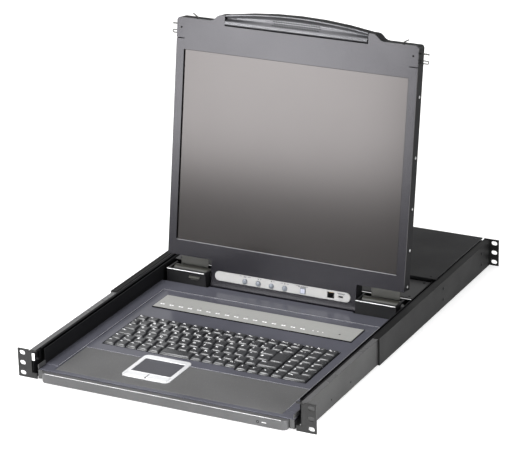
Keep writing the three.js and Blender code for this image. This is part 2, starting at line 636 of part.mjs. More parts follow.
function hingePin(sign) {
  const ends = ordered(sign * (HINGE_BLOCK.x0 + 0.6), sign * (HINGE_BLOCK.x1 - 0.6));
  return rod("x", ...ends, PIN_RADIUS, HINGE_Y, HINGE_Z, 16);
}

// In the screen's own axes: a barrel on the hinge axis and a cranked arm that runs up into the shell.
function hingeArm(sign) {
  const barrelEnds = ordered(sign * BARREL.x0, sign * BARREL.x1);
  const armEnds = ordered(sign * ARM.x0, sign * ARM.x1);
  const low = LCD_BACK + GAP;
  const high = LCD_BACK + SHELL_SHEET + GAP;
  const crank = NOTCH_UP - 3;
  const outline = [
    [-2, low],
    [crank, low],
    [crank + 3, high],
    [ARM.end, high],
    [ARM.end, high + ARM.sheet],
    [crank + 2, high + ARM.sheet],
    [crank - 1, low + ARM.sheet],
    [BARREL.radius - 1, low + ARM.sheet],
    [2, -5],
    [-2, -5],
  ];
  const bore = rod("x", -LCD_HALF, LCD_HALF, PIN_RADIUS + GAP + 0.1, 0, 0);
  return made([rod("x", ...barrelEnds, BARREL.radius, 0, 0), prismX(outline, ...armEnds)], [bore]);
}

pair("hinge_block", "hinge_black", hingeBlock);
pair("hinge_pin", "slide_steel", hingePin);
pair("hinge_arm", "hinge_black", hingeArm, screen);

// ---------------------------------------------------------------- screen
// The screen's outline, drawn in by "inset" all round. The middle of the top edge either stops
// under the handle or follows the arc over it.
function lcdOutline(inset, overHandle) {
  const half = LCD_HALF - inset;
  const foot = LCD_FOOT + inset;
  const notch = NOTCH_UP + inset;
  const notchX = NOTCH_X - inset;
  const shoulder = LCD_SHOULDER - inset;
  const rise = LCD_RISE - inset;
  const corner = CORNER_LCD - inset / 2;
  const shape = new THREE.Shape();
  shape.moveTo(-notchX, foot);
  shape.lineTo(notchX, foot);
  shape.lineTo(notchX, notch);
  shape.lineTo(half, notch);
  shape.lineTo(half, shoulder - corner);
  shape.absarc(half - corner, shoulder - corner, corner, 0, Math.PI / 2, false);
  shape.lineTo(RISE_X[0], shoulder);
  const bend = (RISE_X[0] + RISE_X[1]) / 2;
  shape.bezierCurveTo(bend, shoulder, bend, rise, RISE_X[1], rise);
  if (overHandle) {
    shape.lineTo(HANDLE.x + 1, rise);
    shape.quadraticCurveTo(0, 2 * (HANDLE.upMiddle - inset) - rise, -HANDLE.x - 1, rise);
  } else {
    shape.lineTo(HANDLE.x + GAP, rise);
    shape.lineTo(HANDLE.x + GAP, HANDLE.up0 - GAP);
    shape.lineTo(-HANDLE.x - GAP, HANDLE.up0 - GAP);
    shape.lineTo(-HANDLE.x - GAP, rise);
  }
  shape.lineTo(-RISE_X[1], rise);
  shape.bezierCurveTo(-bend, rise, -bend, shoulder, -RISE_X[0], shoulder);
  shape.lineTo(-half + corner, shoulder);
  shape.absarc(-half + corner, shoulder - corner, corner, Math.PI / 2, Math.PI, false);
  shape.lineTo(-half, notch);
  shape.lineTo(-notchX, notch);
  return shape;
}

function stripOutline(grow) {
  const { x0, x1, up0, up1 } = STRIP;
  const radius = (up1 - up0) / 2 - 0.01 + grow;
  return roundedRect(x0 - grow, x1 + grow, up0 - grow, up1 + grow, radius);
}

function bezel() {
  const back = LCD_FACE - BEZEL_SHEET;
  const opening = box(-SCREEN.x, SCREEN.x, SCREEN.up0, SCREEN.up1, back - 1, LCD_FACE + 1);
  const strip = slab(stripOutline(GAP), back - 1, LCD_FACE + 1);
  const slots = [-1, 1].map((s) => {
    const ends = ordered(s * SIDE_SLOT.x, s * (LCD_HALF + 1));
    return box(...ends, SIDE_SLOT.up0, SIDE_SLOT.up1, back - 1, LCD_FACE + 1);
  });
  return made([slab(lcdOutline(0, false), back, LCD_FACE)], [opening, strip, ...slots]);
}

function rearCover() {
  const front = LCD_FACE - BEZEL_SHEET - GAP;
  const outside = slab(lcdOutline(0, true), LCD_BACK, front);
  const inside = slab(lcdOutline(SHELL_SHEET, true), LCD_BACK + SHELL_SHEET, front + 1);
  const armPaths = [-1, 1].map((s) => {
    const ends = ordered(s * (ARM.x0 - 1), s * (ARM.x1 + 1));
    return box(...ends, NOTCH_UP - 1, NOTCH_UP + 6, LCD_BACK - 1, LCD_BACK + 6);
  });
  const latchPaths = [-1, 1].flatMap((s) => {
    const sideEnds = ordered(s * (LCD_HALF - 4), s * (LCD_HALF + 1));
    const out = [LATCH.out0 - GAP, LATCH.out1 + GAP];
    const half = LATCH.prong / 2 + GAP;
    const sides = LATCH.prongs.map((up) => box(...sideEnds, up - half, up + half, ...out));
    const topEnds = ordered(s * (LATCH.root - LATCH.throw - 1), s * (LATCH.root + 11));
    return [...sides, box(...topEnds, LCD_SHOULDER - 4, LCD_SHOULDER + 1, ...out)];
  });
  return made([outside], [inside, ...armPaths, ...latchPaths]);
}

// The pull handle: a scooped bar whose lower edge bulges out, under the arc of the top edge.
function handle() {
  const seat = LCD_FACE - BEZEL_SHEET;
  const bulge = { up: HANDLE.up0 + 4.1, out: seat + 1, half: 4.1, proud: 3.4, steps: 7 };
  const curve = Array.from({ length: bulge.steps }, (_, i) => {
    const angle = THREE.MathUtils.degToRad(180 - (i * 160) / (bulge.steps - 1));
    return [bulge.up + bulge.half * Math.cos(angle), bulge.out + bulge.proud * Math.sin(angle)];
  });
  const profile = [
    [HANDLE.up0, seat],
    [HANDLE.upMiddle + 1, seat],
    [HANDLE.upMiddle + 1, LCD_FACE],
    [HANDLE.up0 + 19, seat + 0.7],
    [HANDLE.up0 + 12, seat + 1],
    ...curve.reverse(),
  ];
  const bar = prismX(profile, -HANDLE.x, HANDLE.x);
  return geometryOf(solid(bar).intersect(solid(slab(lcdOutline(0, true), -20, 20))));
}

function controlStrip() {
  const back = LCD_FACE - BEZEL_SHEET + GAP;
  const through = [back - 1, STRIP.out + 1];
  const round = BUTTON_X.map((x) => rod("z", ...through, BUTTON_RADIUS + GAP, x, BUTTON_UP, 20));
  const { x, up, half } = POWER_BUTTON;
  const square = box(x - half - GAP, x + half + GAP, up - half - GAP, up + half + GAP, ...through);
  const jack = box(JACK.x0, JACK.x1, JACK.up0, JACK.up1, ...through);
  const slot = box(SWITCH.x - SWITCH.slotX, SWITCH.x + SWITCH.slotX, SWITCH.up - SWITCH.halfUp - GAP,
    SWITCH.up + SWITCH.halfUp + GAP, ...through);
  return made([slab(stripOutline(0), back, STRIP.out)], [...round, square, jack, slot]);
}

// The board behind the strip, with the upgrade jack soldered to it.
function driverBoard() {
  const board = box(-95, 110, -13, 20, -3.5, -1.9);
  const rim = 1.2;
  const front = LCD_FACE - BEZEL_SHEET;
  const shell = box(JACK.x0 - rim, JACK.x1 + rim, JACK.up0 - rim, JACK.up1 + rim, -2.5, front);
  const well = box(JACK.x0, JACK.x1, JACK.up0, JACK.up1, -0.6, LCD_FACE + 1);
  return made([board, shell], [well]);
}

function roundButton(x) {
  const stem = rod("z", 2.5, STRIP.out + 1.1, BUTTON_RADIUS, x, BUTTON_UP, 16);
  return made([stem, rod("z", 4.5, 6.5, BUTTON_RADIUS + 1, x, BUTTON_UP, 16)]);
}

function latch(sign) {
  const { tip, root, out0, out1, prongs, prong } = LATCH;
  const inside = LCD_HALF - SHELL_SHEET;
  const plateEnds = ordered(sign * root, sign * (inside - 1.5));
  const toothEnds = ordered(sign * (inside - 3), sign * tip);
  const fingerEnds = ordered(sign * root, sign * (root + 8));
  const plate = box(...plateEnds, prongs[0] - 3, prongs[1] + 4, out0, out1);
  const teeth = prongs.map((up) => box(...toothEnds, up - prong / 2, up + prong / 2, out0, out1));
  const finger = box(...fingerEnds, prongs[1], LCD_SHOULDER + 4.8, out0, out1);
  return made([plate, ...teeth, finger]);
}

place("screen_bezel", "bezel_paint", bezel(), screen);
place("screen_rear_cover", "chassis_paint", rearCover(), screen);
place("lcd_panel", "screen_glass", box(-LCD_PANEL.x, LCD_PANEL.x, LCD_PANEL.up0, LCD_PANEL.up1,
  LCD_PANEL.back, LCD_FACE - BEZEL_SHEET - GAP), screen);
place("screen_handle", "handle_plastic", handle(), screen);
place("control_strip", "silver_panel", controlStrip(), screen);
place("driver_board", "board_green", driverBoard(), screen);
BUTTON_X.forEach((x, i) => place(`menu_button_${i + 1}`, "button_metal", roundButton(x), screen));
place("screen_power_button", "button_metal", made([
  box(POWER_BUTTON.x - POWER_BUTTON.half, POWER_BUTTON.x + POWER_BUTTON.half,
    POWER_BUTTON.up - POWER_BUTTON.half, POWER_BUTTON.up + POWER_BUTTON.half, 2.5, STRIP.out + 0.9),
]), screen);
place("mode_switch", "port_plastic", made([
  box(SWITCH.x - SWITCH.halfX, SWITCH.x + SWITCH.halfX, SWITCH.up - SWITCH.halfUp, SWITCH.up + SWITCH.halfUp,
    2.5, STRIP.out + 0.8),
]), screen);
pair("screen_latch", "spring_steel", (sign) => latch(sign), screen);

// ---------------------------------------------------------------- origin under the middle
const extent = new THREE.Box3().setFromObject(product);
product.position.y = -(extent.min.y + extent.max.y) / 2;

export default product;
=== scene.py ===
"""A one-unit rack console with a flip-up screen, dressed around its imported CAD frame.

Sizes are in millimetres in two drawing spaces, each turned into the frame's metres by a matrix:
  DECK    x to the right, y back from the front of the rack ears, z up from their lower edge
  SCREEN  x to the right, y up along the open screen, z out of its face, from the hinge's axis
"""
import json
import math

import bmesh
import bpy
from mathutils import Matrix, Vector

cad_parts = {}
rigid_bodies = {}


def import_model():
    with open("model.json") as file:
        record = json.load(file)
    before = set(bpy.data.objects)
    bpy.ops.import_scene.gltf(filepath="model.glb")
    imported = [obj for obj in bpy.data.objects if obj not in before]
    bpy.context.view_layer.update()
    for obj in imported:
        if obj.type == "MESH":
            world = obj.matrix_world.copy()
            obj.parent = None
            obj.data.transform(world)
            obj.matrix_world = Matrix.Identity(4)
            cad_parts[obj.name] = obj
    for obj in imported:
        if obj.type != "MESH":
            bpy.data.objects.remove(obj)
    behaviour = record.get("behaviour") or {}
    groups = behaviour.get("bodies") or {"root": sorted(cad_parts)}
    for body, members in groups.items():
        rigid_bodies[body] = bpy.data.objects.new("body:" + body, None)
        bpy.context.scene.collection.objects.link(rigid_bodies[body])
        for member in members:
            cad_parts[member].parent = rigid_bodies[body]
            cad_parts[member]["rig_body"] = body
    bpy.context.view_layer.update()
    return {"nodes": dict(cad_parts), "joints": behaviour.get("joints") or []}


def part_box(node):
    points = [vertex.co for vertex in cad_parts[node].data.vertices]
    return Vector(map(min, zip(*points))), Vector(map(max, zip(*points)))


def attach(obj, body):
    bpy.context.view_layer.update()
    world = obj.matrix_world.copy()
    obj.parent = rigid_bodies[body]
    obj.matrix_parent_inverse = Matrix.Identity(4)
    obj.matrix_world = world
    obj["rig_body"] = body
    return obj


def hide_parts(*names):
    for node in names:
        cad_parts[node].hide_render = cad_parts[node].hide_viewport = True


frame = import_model()

# ---------------------------------------------------------------- drawing spaces and main sizes
MM = 0.001
LEAN = math.radians(8.68)  # how far the open screen leans back
EAR_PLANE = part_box("left_mount_bracket")[0].y
HINGE = Vector(next(j["pos_m"] for j in frame["joints"] if j["name"] == "screen_hinge"))
DECK = Matrix.Translation((0, EAR_PLANE, 0)) @ Matrix.Scale(MM, 4)
TILT = Matrix.Rotation(math.pi / 2 - LEAN, 4, "X")
SCREEN = Matrix.Translation(HINGE) @ TILT @ Matrix.Scale(MM, 4)

KEY_PITCH = 18.75
PAD_PITCH = 18.9
ROW_PITCH = 19.3
KEY_GAP = 0.9
KEY_FOOT = 14.9
KEY_TOP = 19.4
DISH = 0.55  # depth of the hollow in a keycap's top
SPACE_DISH = -0.02  # the space bar's top is barely crowned instead
LCD_FACE = 10.5  # front of the bezel, out from the hinge axis
LCD_BACK = -11.5
LCD_HALF = 201.5
SHOULDER = 399.8  # top edge of the screen's corners
SEAT = 8.0  # front of the rear cover, behind the bezel
VIEW_X = 188.15  # half width of the visible screen
VIEW_UP = (49.9, 351.0)
HANDLE_HALF = 119.5
HANDLE_FOOT = 394.3
HANDLE_END = 410.8
HANDLE_CROWN = 419.9
DECK_TOP = 16.5
DECK_STEP = 1.2  # height of the raised border round the deck
PANEL_TOP = 18.0
STRIP_FACE = 10.9
HOUSING_REAR = 678.0


# ---------------------------------------------------------------- drawing helpers
def block(bm, x, y, z):
    """A cuboid between three pairs of ends."""
    for v in bmesh.ops.create_cube(bm, size=1)["verts"]:
        ends = (x, y, z)
        v.co = Vector([lo + (c + 0.5) * (hi - lo) for c, (lo, hi) in zip(v.co, ends)])


def loft(bm, rings):
    """A closed skin over rings with equal numbers of points."""
    rows = [[bm.verts.new(point) for point in ring] for ring in rings]
    count = len(rows[0])
    for low, high in zip(rows, rows[1:]):
        for i in range(count):
            j = (i + 1) % count
            bm.faces.new((low[i], low[j], high[j], high[i]))
    bm.faces.new(rows[0][::-1])
    bm.faces.new(rows[-1])


def rounded_ring(x, y, z, radius, steps=3):
    """The points of a rounded rectangle between the ends x and y, at height z."""
    corners = (
        (x[1] - radius, y[0] + radius, -90),
        (x[1] - radius, y[1] - radius, 0),
        (x[0] + radius, y[1] - radius, 90),
        (x[0] + radius, y[0] + radius, 180),
    )
    points = []
    for cx, cy, start in corners:
        for i in range(steps + 1):
            angle = math.radians(start + 90 * i / steps)
            points.append((cx + radius * math.cos(angle), cy + radius * math.sin(angle), z))
    return points


def circle_ring(radius, height, sides=24):
    """The points of a circle round the z axis."""
    turns = [2 * math.pi * i / sides for i in range(sides)]
    return [(radius * math.cos(a), radius * math.sin(a), height) for a in turns]


def standing(centre, facing):
    """The matrix that stands a shape drawn along z at a centre, facing a direction."""
    turn = Vector((0, 0, 1)).rotation_difference(Vector(facing)).to_matrix().to_4x4()
    return Matrix.Translation(centre) @ turn


def placed(bm, place, draw, *details):
    """Draws with a function at a place."""
    known = len(bm.verts)
    draw(bm, *details)
    bm.verts.ensure_lookup_table()
    for v in bm.verts[known:]:
        v.co = place @ v.co


def turned(bm, profile, sides=24):
    """A round shape from (radius, height) pairs."""
    loft(bm, [circle_ring(radius, height, sides) for radius, height in profile])


def screw_head(bm, radius, height):
    """A pan head with a cross recess."""
    arm, width = radius * 0.55, radius * 0.16
    corner = [(arm, -width), (arm, width), (width, width)]
    cross = []
    for quarter in range(4):
        turn = Matrix.Rotation(quarter * math.pi / 2, 2)
        cross += [turn @ Vector(point) for point in corner]

    def rim(size, z):
        return [(*(p.normalized() * size), z) for p in cross]

    recess = [(p.x, p.y, height) for p in cross]
    bottom = [(p.x * 0.7, p.y * 0.7, height * 0.3) for p in cross]
    sizes = ((radius, -0.3), (radius, height * 0.45), (radius * 0.86, height * 0.85))
    loft(bm, [rim(size, z) for size, z in sizes] + [rim(radius * 0.68, height), recess, bottom])


def pit(bm, radius, rise):
    """The look of a small hole: a disc that stands a little proud of the surface, painted black as
    the shade inside the hole.
    """
    crest = rise + 0.02
    turned(bm, ((radius, -0.3), (radius, rise), (radius * 0.9, crest), (0.05, crest)), 10)


def rounded_path(points, radius, steps=5):
    """A polyline with its corners rounded off."""
    points = [Vector(p) for p in points]
    path = [points[0]]
    for before, corner, after in zip(points, points[1:], points[2:]):
        start = corner + (before - corner).normalized() * radius
        end = corner + (after - corner).normalized() * radius
        for i in range(steps + 1):
            t = i / steps
            path.append(start.lerp(corner, t).lerp(corner.lerp(end, t), t))
    return path + [points[-1]]


def wire(bm, points, radius, bend, tip=1.0, sides=10):
    """A bent wire; its last stretch narrows to the share "tip" of its radius."""
    path = rounded_path(points, bend)
    direction = (path[1] - path[0]).normalized()
    side = direction.orthogonal().normalized()
    rings = []
    for i, point in enumerate(path):
        ahead = (path[min(i + 1, len(path) - 1)] - path[max(i - 1, 0)]).normalized()
        side = direction.rotation_difference(ahead) @ side
        direction = ahead
        across = direction.cross(side)
        size = radius * (tip if i == len(path) - 1 else 1)
        turns = [2 * math.pi * k / sides for k in range(sides)]
        rings.append([point + size * (side * math.cos(a) + across * math.sin(a)) for a in turns])
    loft(bm, rings)


def soften(obj, width, angle=30):
    """Rounds an object's edges with modifiers, and leaves its mesh as it is."""
    weld = obj.modifiers.new("weld", "WELD")
    weld.merge_threshold = 0.03 * MM
    flat = obj.modifiers.new("flat_faces", "DECIMATE")
    flat.decimate_type = "DISSOLVE"
    flat.angle_limit = math.radians(0.5)
    shade = obj.modifiers.new("shading", "NODES")
    shade.node_group = smooth_shading()
    bevel = obj.modifiers.new("edges", "BEVEL")
    bevel.width = width * MM
    bevel.segments = 2
    bevel.limit_method = "ANGLE"
    bevel.angle_limit = math.radians(angle)
    bevel.harden_normals = True
    normals = obj.modifiers.new("normals", "WEIGHTED_NORMAL")
    normals.keep_sharp = True


def smooth_shading():
    """A node group that drops imported normals and shades every face smooth."""
    name = "smooth_shading"
    if name in bpy.data.node_groups:
        return bpy.data.node_groups[name]
    group = bpy.data.node_groups.new(name, "GeometryNodeTree")
    group.interface.new_socket("Geometry", in_out="INPUT", socket_type="NodeSocketGeometry")
    group.interface.new_socket("Geometry", in_out="OUTPUT", socket_type="NodeSocketGeometry")
    start = group.nodes.new("NodeGroupInput")
    drop = group.nodes.new("GeometryNodeRemoveAttribute")
    drop.inputs["Name"].default_value = "custom_normal"
    smooth = group.nodes.new("GeometryNodeSetShadeSmooth")
    end = group.nodes.new("NodeGroupOutput")
    group.links.new(start.outputs[0], drop.inputs["Geometry"])
    group.links.new(drop.outputs["Geometry"], smooth.inputs["Geometry"])
    group.links.new(smooth.outputs["Geometry"], end.inputs[0])
    return group


def piece(name, bm, space, material, body, replaces=(), edge=0.0, smooth=True):
    """Turns a drawing into a piece of the object that rides on a body."""
    bmesh.ops.remove_doubles(bm, verts=bm.verts, dist=0.002)
    bmesh.ops.recalc_face_normals(bm, faces=bm.faces)
    bm.transform(space)
    mesh = bpy.data.meshes.new(name)
    bm.to_mesh(mesh)
    bm.free()
    for face in mesh.polygons:
        face.use_smooth = smooth
    obj = bpy.data.objects.new(name, mesh)
    bpy.context.scene.collection.objects.link(obj)
    mesh.materials.append(material)
    if edge:
        soften(obj, edge)
    elif smooth:
        mesh.set_sharp_from_angle(angle=math.radians(32))
    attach(obj, body)
    if replaces:
        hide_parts(*replaces)
    return obj


# ---------------------------------------------------------------- materials
def surface(name, base, rough, metal=0.0, vary=0.12, rough_vary=0.06, grain=1400, bump=0.12,
            stretch=(1, 1, 1), specular=0.5, coat=0.0, mottle=16, flecks=0.0, ior=1.5,
            shine=(1, 1, 1)):
    """A paint, plastic or metal: broad noise mottles its colour and gloss, fine noise its grain."""
    material = bpy.data.materials.new(name)
    material.use_nodes = True
    nodes, links = material.node_tree.nodes, material.node_tree.links
    shader = nodes["Principled BSDF"]
    shader.inputs["Metallic"].default_value = metal
    shader.inputs["Specular IOR Level"].default_value = specular
    shader.inputs["Specular Tint"].default_value = (*shine, 1)
    shader.inputs["IOR"].default_value = ior
    shader.inputs["Coat Weight"].default_value = coat
    shader.inputs["Coat Roughness"].default_value = 0.12

    where = nodes.new("ShaderNodeTexCoord")
    scale = nodes.new("ShaderNodeMapping")
    scale.inputs["Scale"].default_value = stretch
    links.new(where.outputs["Object"], scale.inputs["Vector"])

    def noise(size, detail):
        texture = nodes.new("ShaderNodeTexNoise")
        texture.inputs["Scale"].default_value = size
        texture.inputs["Detail"].default_value = detail
        links.new(scale.outputs["Vector"], texture.inputs["Vector"])
        return texture.outputs["Fac"]

    broad, fine = noise(mottle, 6), noise(grain, 3)

    colour = nodes.new("ShaderNodeValToRGB")
    low, high = colour.color_ramp.elements
    low.position, high.position = 0.3, 0.7
    low.color = (*[c * (1 - vary) for c in base], 1)
    high.color = (*[c * (1 + vary) for c in base], 1)
    links.new(broad, colour.inputs["Fac"])
    tint = colour.outputs["Color"]
    if flecks:
        mix = nodes.new("ShaderNodeMix")
        mix.data_type = "RGBA"
        mix.inputs["B"].default_value = (*[min(1, c * 2.2 + 0.02) for c in base], 1)
        share = nodes.new("ShaderNodeMapRange")
        share.inputs["From Min"].default_value = 0.58
        share.inputs["From Max"].default_value = 0.72
        share.inputs["To Max"].default_value = flecks
        links.new(fine, share.inputs["Value"])
        links.new(share.outputs["Result"], mix.inputs["Factor"])
        links.new(tint, mix.inputs["A"])
        tint = mix.outputs["Result"]
    links.new(tint, shader.inputs["Base Color"])

    gloss = nodes.new("ShaderNodeMapRange")
    gloss.inputs["From Min"].default_value = 0.3
    gloss.inputs["From Max"].default_value = 0.7
    gloss.inputs["To Min"].default_value = max(0.02, rough - rough_vary)
    gloss.inputs["To Max"].default_value = min(1, rough + rough_vary)
    links.new(broad, gloss.inputs["Value"])
    links.new(gloss.outputs["Result"], shader.inputs["Roughness"])

    relief = nodes.new("ShaderNodeBump")
    relief.inputs["Strength"].default_value = bump
    relief.inputs["Distance"].default_value = 0.1 * MM
    links.new(fine, relief.inputs["Height"])
    links.new(relief.outputs["Normal"], shader.inputs["Normal"])
    return material


def glow(name, colour, strength):
    """A mottled plastic that gives off a little light, for lenses and white prints."""
    material = surface(name, colour, 0.25, grain=900, bump=0.03)
    shader = material.node_tree.nodes["Principled BSDF"]
    shader.inputs["Emission Color"].default_value = (*colour, 1)
    shader.inputs["Emission Strength"].default_value = strength
    return material


LOOKS = {
    "rail_paint": surface("rail_paint", (0.055, 0.055, 0.056), 0.38, flecks=0.5, bump=0.3,
                          specular=0.55),
    # a lighter copy of the bracket paint for the folded top edges: a painted highlight where light
    # from above falls
    "flange_painted_highlight": surface("flange_painted_highlight", (0.1, 0.1, 0.102), 0.3, flecks=0.4, bump=0.2),
    "ear_paint": surface("ear_paint", (0.018, 0.018, 0.018), 0.42, flecks=0.4, bump=0.3,
                         specular=0.3),
    "sleeve_paint": surface("sleeve_paint", (0.011, 0.011, 0.011), 0.5, flecks=0.2, bump=0.25,
                            specular=0.12),
    "cover_black": surface("cover_black", (0.013, 0.013, 0.014), 0.55, flecks=0.1, bump=0.2,
                           specular=0.04),
    "wall_paint": surface("wall_paint", (0.008, 0.008, 0.009), 0.55, flecks=0.2, bump=0.2,
                          specular=0.12),
    "chassis_paint": surface("chassis_paint", (0.014, 0.014, 0.015), 0.5, flecks=0.35, bump=0.25,
                             specular=0.12),
    "plate_paint": surface("plate_paint", (0.06, 0.06, 0.061), 0.5, flecks=0.35, bump=0.25,
                           specular=0.2),
    "slide_steel": surface("slide_steel", (0.5, 0.5, 0.5), 0.34, metal=1.0, stretch=(1, 0.05, 1),
                           bump=0.1),
    "deck_paint": surface("deck_paint", (0.085, 0.086, 0.105), 0.16, flecks=0.2, bump=0.02,
                          rough_vary=0.015, specular=0.2),
    "lip_paint": surface("lip_paint", (0.075, 0.075, 0.077), 0.34, flecks=0.2, bump=0.1),
    "palm_paint": surface("palm_paint", (0.1, 0.1, 0.101), 0.5, grain=700, bump=0.4, flecks=0.3),
    "key_plastic": surface("key_plastic", (0.037, 0.038, 0.041), 0.26, grain=2200, bump=0.12,
                           specular=0.65),
    "silver_panel": surface("silver_panel", (0.34, 0.34, 0.328), 0.4, specular=0.15,
                            stretch=(0.04, 1, 1), grain=2600, bump=0.12, vary=0.05, flecks=0.2),
    "strip_silver": surface("strip_silver", (0.39, 0.387, 0.383), 0.4, grain=2600,
                            stretch=(0.04, 1, 1), bump=0.04, vary=0.03, specular=0.25),
    "touch_silver": surface("touch_silver", (0.74, 0.745, 0.76), 0.22, metal=0.2, bump=0.03,
                            vary=0.03, coat=0.4),
    "touch_pad": surface("touch_pad", (0.07, 0.07, 0.08), 0.55, grain=2600, bump=0.3),
    "bezel_paint": surface("bezel_paint", (0.006, 0.0056, 0.0085), 0.22, bump=0.08, flecks=0.08,
                           vary=0.06, rough_vary=0.015, specular=0.26,
                           shine=(0.97, 0.955, 1)),
    "screen_glass": surface("screen_glass", (0.0042, 0.0038, 0.0035), 0.185, vary=0.04,
                            rough_vary=0.004, grain=4000, bump=0.004, ior=1.4,
                            shine=(1, 0.94, 0.935)),
    "handle_plastic": surface("handle_plastic", (0.1, 0.1, 0.106), 0.38, metal=0.8, bump=0.04,
                              vary=0.05),
    "button_metal": surface("button_metal", (0.16, 0.175, 0.2), 0.35, metal=0.3, bump=0.03),
    "hinge_black": surface("hinge_black", (0.012, 0.012, 0.013), 0.42, bump=0.15, specular=0.2),
    "hinge_grey": surface("hinge_grey", (0.04, 0.04, 0.034), 0.4, bump=0.12, specular=0.4),
    "spring_steel": surface("spring_steel", (0.11, 0.11, 0.105), 0.38, metal=0.7, vary=0.06,
                            bump=0.03),
    "board_green": surface("board_green", (0.02, 0.12, 0.05), 0.4, grain=500, bump=0.2),
    "port_plastic": surface("port_plastic", (0.02, 0.021, 0.024), 0.45, bump=0.15),
}
# white for prints, lamp windows and the white stop, with a faint painted glow; also a painted
# highlight along the lip's top edge
PRINT_WHITE_AND_HIGHLIGHT = glow("print_white_and_highlight", (0.88, 0.88, 0.89), 0.25)
# light grey for thin strips on edges: a painted highlight where an edge catches light
PAINTED_EDGE_HIGHLIGHT = surface("painted_edge_highlight", (0.42, 0.42, 0.44), 0.35, vary=0.2, mottle=60)
NUMBER_GREY = surface("number_grey", (0.2, 0.2, 0.2), 0.45, vary=0.1)
ICON_DARK = surface("icon_dark", (0.05, 0.05, 0.06), 0.45, vary=0.1)
# near black: the own colour of black parts, and painted shade inside holes and slots, in the
# screen's recess and round the port panel
BLACK_AND_PAINTED_SHADE = surface("black_and_painted_shade", (0.003, 0.003, 0.003), 0.7, vary=0.3, specular=0.05)
GOLD = surface("pin_gold", (0.75, 0.5, 0.18), 0.25, metal=1.0, vary=0.06)

LOOK_NODES = {  # the CAD nodes that stay in view, by the look they get
    "ear_paint": ["left_mount_bracket", "right_mount_bracket"],
    "sleeve_paint": ["left_rear_bracket", "right_rear_bracket"],
    "cover_black": ["screen_rear_cover"],
    "wall_paint": [
        "left_side_wall", "right_side_wall", "drawer_pan", "keyboard_base",
        "left_rail", "right_rail",
    ],
    "chassis_paint": ["housing_pan", "housing_cover"],
    "plate_paint": ["drawer_rear_cover"],
    "slide_steel": [
        "left_mid_slide", "right_mid_slide", "left_inner_slide", "right_inner_slide",
        "power_supply", "left_hinge_pin", "right_hinge_pin",
    ],
    "deck_paint": ["deck"],
    "lip_paint": ["front_lip"],
    "palm_paint": ["palm_rest"],
    "key_plastic": ["reset_button"],
    "silver_panel": ["port_panel"],
    "strip_silver": ["control_strip"],
    "touch_silver": ["touchpad_frame", "left_touch_button", "right_touch_button"],
    "touch_pad": ["touchpad"],
    "bezel_paint": ["screen_bezel"],
    "button_metal": ["screen_power_button"],
    "hinge_black": ["left_hinge_block", "right_hinge_block"],
    "hinge_grey": ["left_hinge_arm", "right_hinge_arm"],
    "board_green": ["switch_board"],
    "port_plastic": ["driver_board", "port_bank", "power_inlet", "power_rocker", "mode_switch"],
}
EDGES = {  # rounding of a CAD node's edges, in millimetres, where it isn't the usual one
    "front_lip": 1.0, "palm_rest": 0.6, "screen_bezel": 0.7, "deck": 0.5, "touchpad_frame": 0.8,
    "left_touch_button": 0.6, "right_touch_button": 0.6, "control_strip": 0.2, "port_panel": 0.4,
    "housing_cover": 0.6, "power_rocker": 0.5, "screen_power_button": 0.6, "screen_rear_cover": 0.6,
}
USUAL_EDGE = 0.35


def dress_nodes():
    """Gives every CAD node that stays in view its look and its rounded edges."""
    for look, names in LOOK_NODES.items():
        for name in names:
            node = frame["nodes"][name]
            node.data.materials.clear()
            node.data.materials.append(LOOKS[look])
            soften(node, EDGES.get(name, USUAL_EDGE))


dress_nodes()


# ---------------------------------------------------------------- keys
def cap_height(x, y, middle, half, dish):
    """Height of a keycap's top, which is hollow across its width."""
    away = min(1, abs(x - middle[0]) / half[0])
    return KEY_TOP - dish * (1 - away * away)


def keycap(bm, x, y, dish):
    """One keycap: steep sides, a soft shoulder and a top that is hollow across its width."""
    middle = ((x[0] + x[1]) / 2, (y[0] + y[1]) / 2)
    sides = (  # draw-in from the foot, height, corner radius
        (0.1, KEY_FOOT, 0.7), (0.0, KEY_FOOT + 0.4, 0.8), (0.35, KEY_FOOT + 2.2, 1.1),
        (1.2, KEY_TOP - 1.15, 1.8), (1.75, KEY_TOP - 0.45, 2.2), (2.15, KEY_TOP - 0.13, 2.3),
    )
    rings = []
    for inset, z, radius in sides:
        width = (x[0] + inset, x[1] - inset)
        depth = (y[0] + inset, y[1] - inset)
        rings.append(rounded_ring(width, depth, z, radius))
    edge = 2.6
    half = ((x[1] - x[0]) / 2 - edge, (y[1] - y[0]) / 2 - edge)
    outline = rounded_ring((-half[0], half[0]), (-half[1], half[1]), 0, 2.2)
    for share in (1.0, 0.72, 0.44, 0.16):
        ring = []
        for dx, dy, _ in outline:
            px, py = middle[0] + dx * share, middle[1] + dy * share
            ring.append((px, py, cap_height(px, py, middle, half, dish)))
        rings.append(ring)
    loft(bm, rings)
    return middle, half


class Legends:
    """Gathers small texts and drawn marks that lie on curved keycaps."""

    def __init__(self):
        self.items = []

    def add(self, text, x, y, size, height):
        """Notes a text at x and y, on a surface whose height is a function of x and y."""
        curve = bpy.data.curves.new("legend", "FONT")
        curve.body = text
        curve.size = size
        curve.extrude = 0.5
        curve.resolution_u = 3
        curve.offset = size * 0.03
        obj = bpy.data.objects.new("legend", curve)
        bpy.context.scene.collection.objects.link(obj)
        self.items.append((obj, x, y, height))

    def draw(self, bm):
        """Draws the texts as thin raised prints that follow the surface under them."""
        bpy.context.view_layer.update()
        shapes = bpy.context.evaluated_depsgraph_get()
        for obj, x, y, height in self.items:
            mesh = bpy.data.meshes.new_from_object(obj.evaluated_get(shapes))
            known = len(bm.verts)
            bm.from_mesh(mesh)
            bm.verts.ensure_lookup_table()
            for v in bm.verts[known:]:
                px, py = x + v.co.x, y + v.co.y
                lift = 0.05 if v.co.z > 0 else -0.12
                v.co = Vector((px, py, height(px, py) + lift))
            bpy.data.meshes.remove(mesh)
        for obj, *_ in self.items:
            bpy.data.objects.remove(obj)


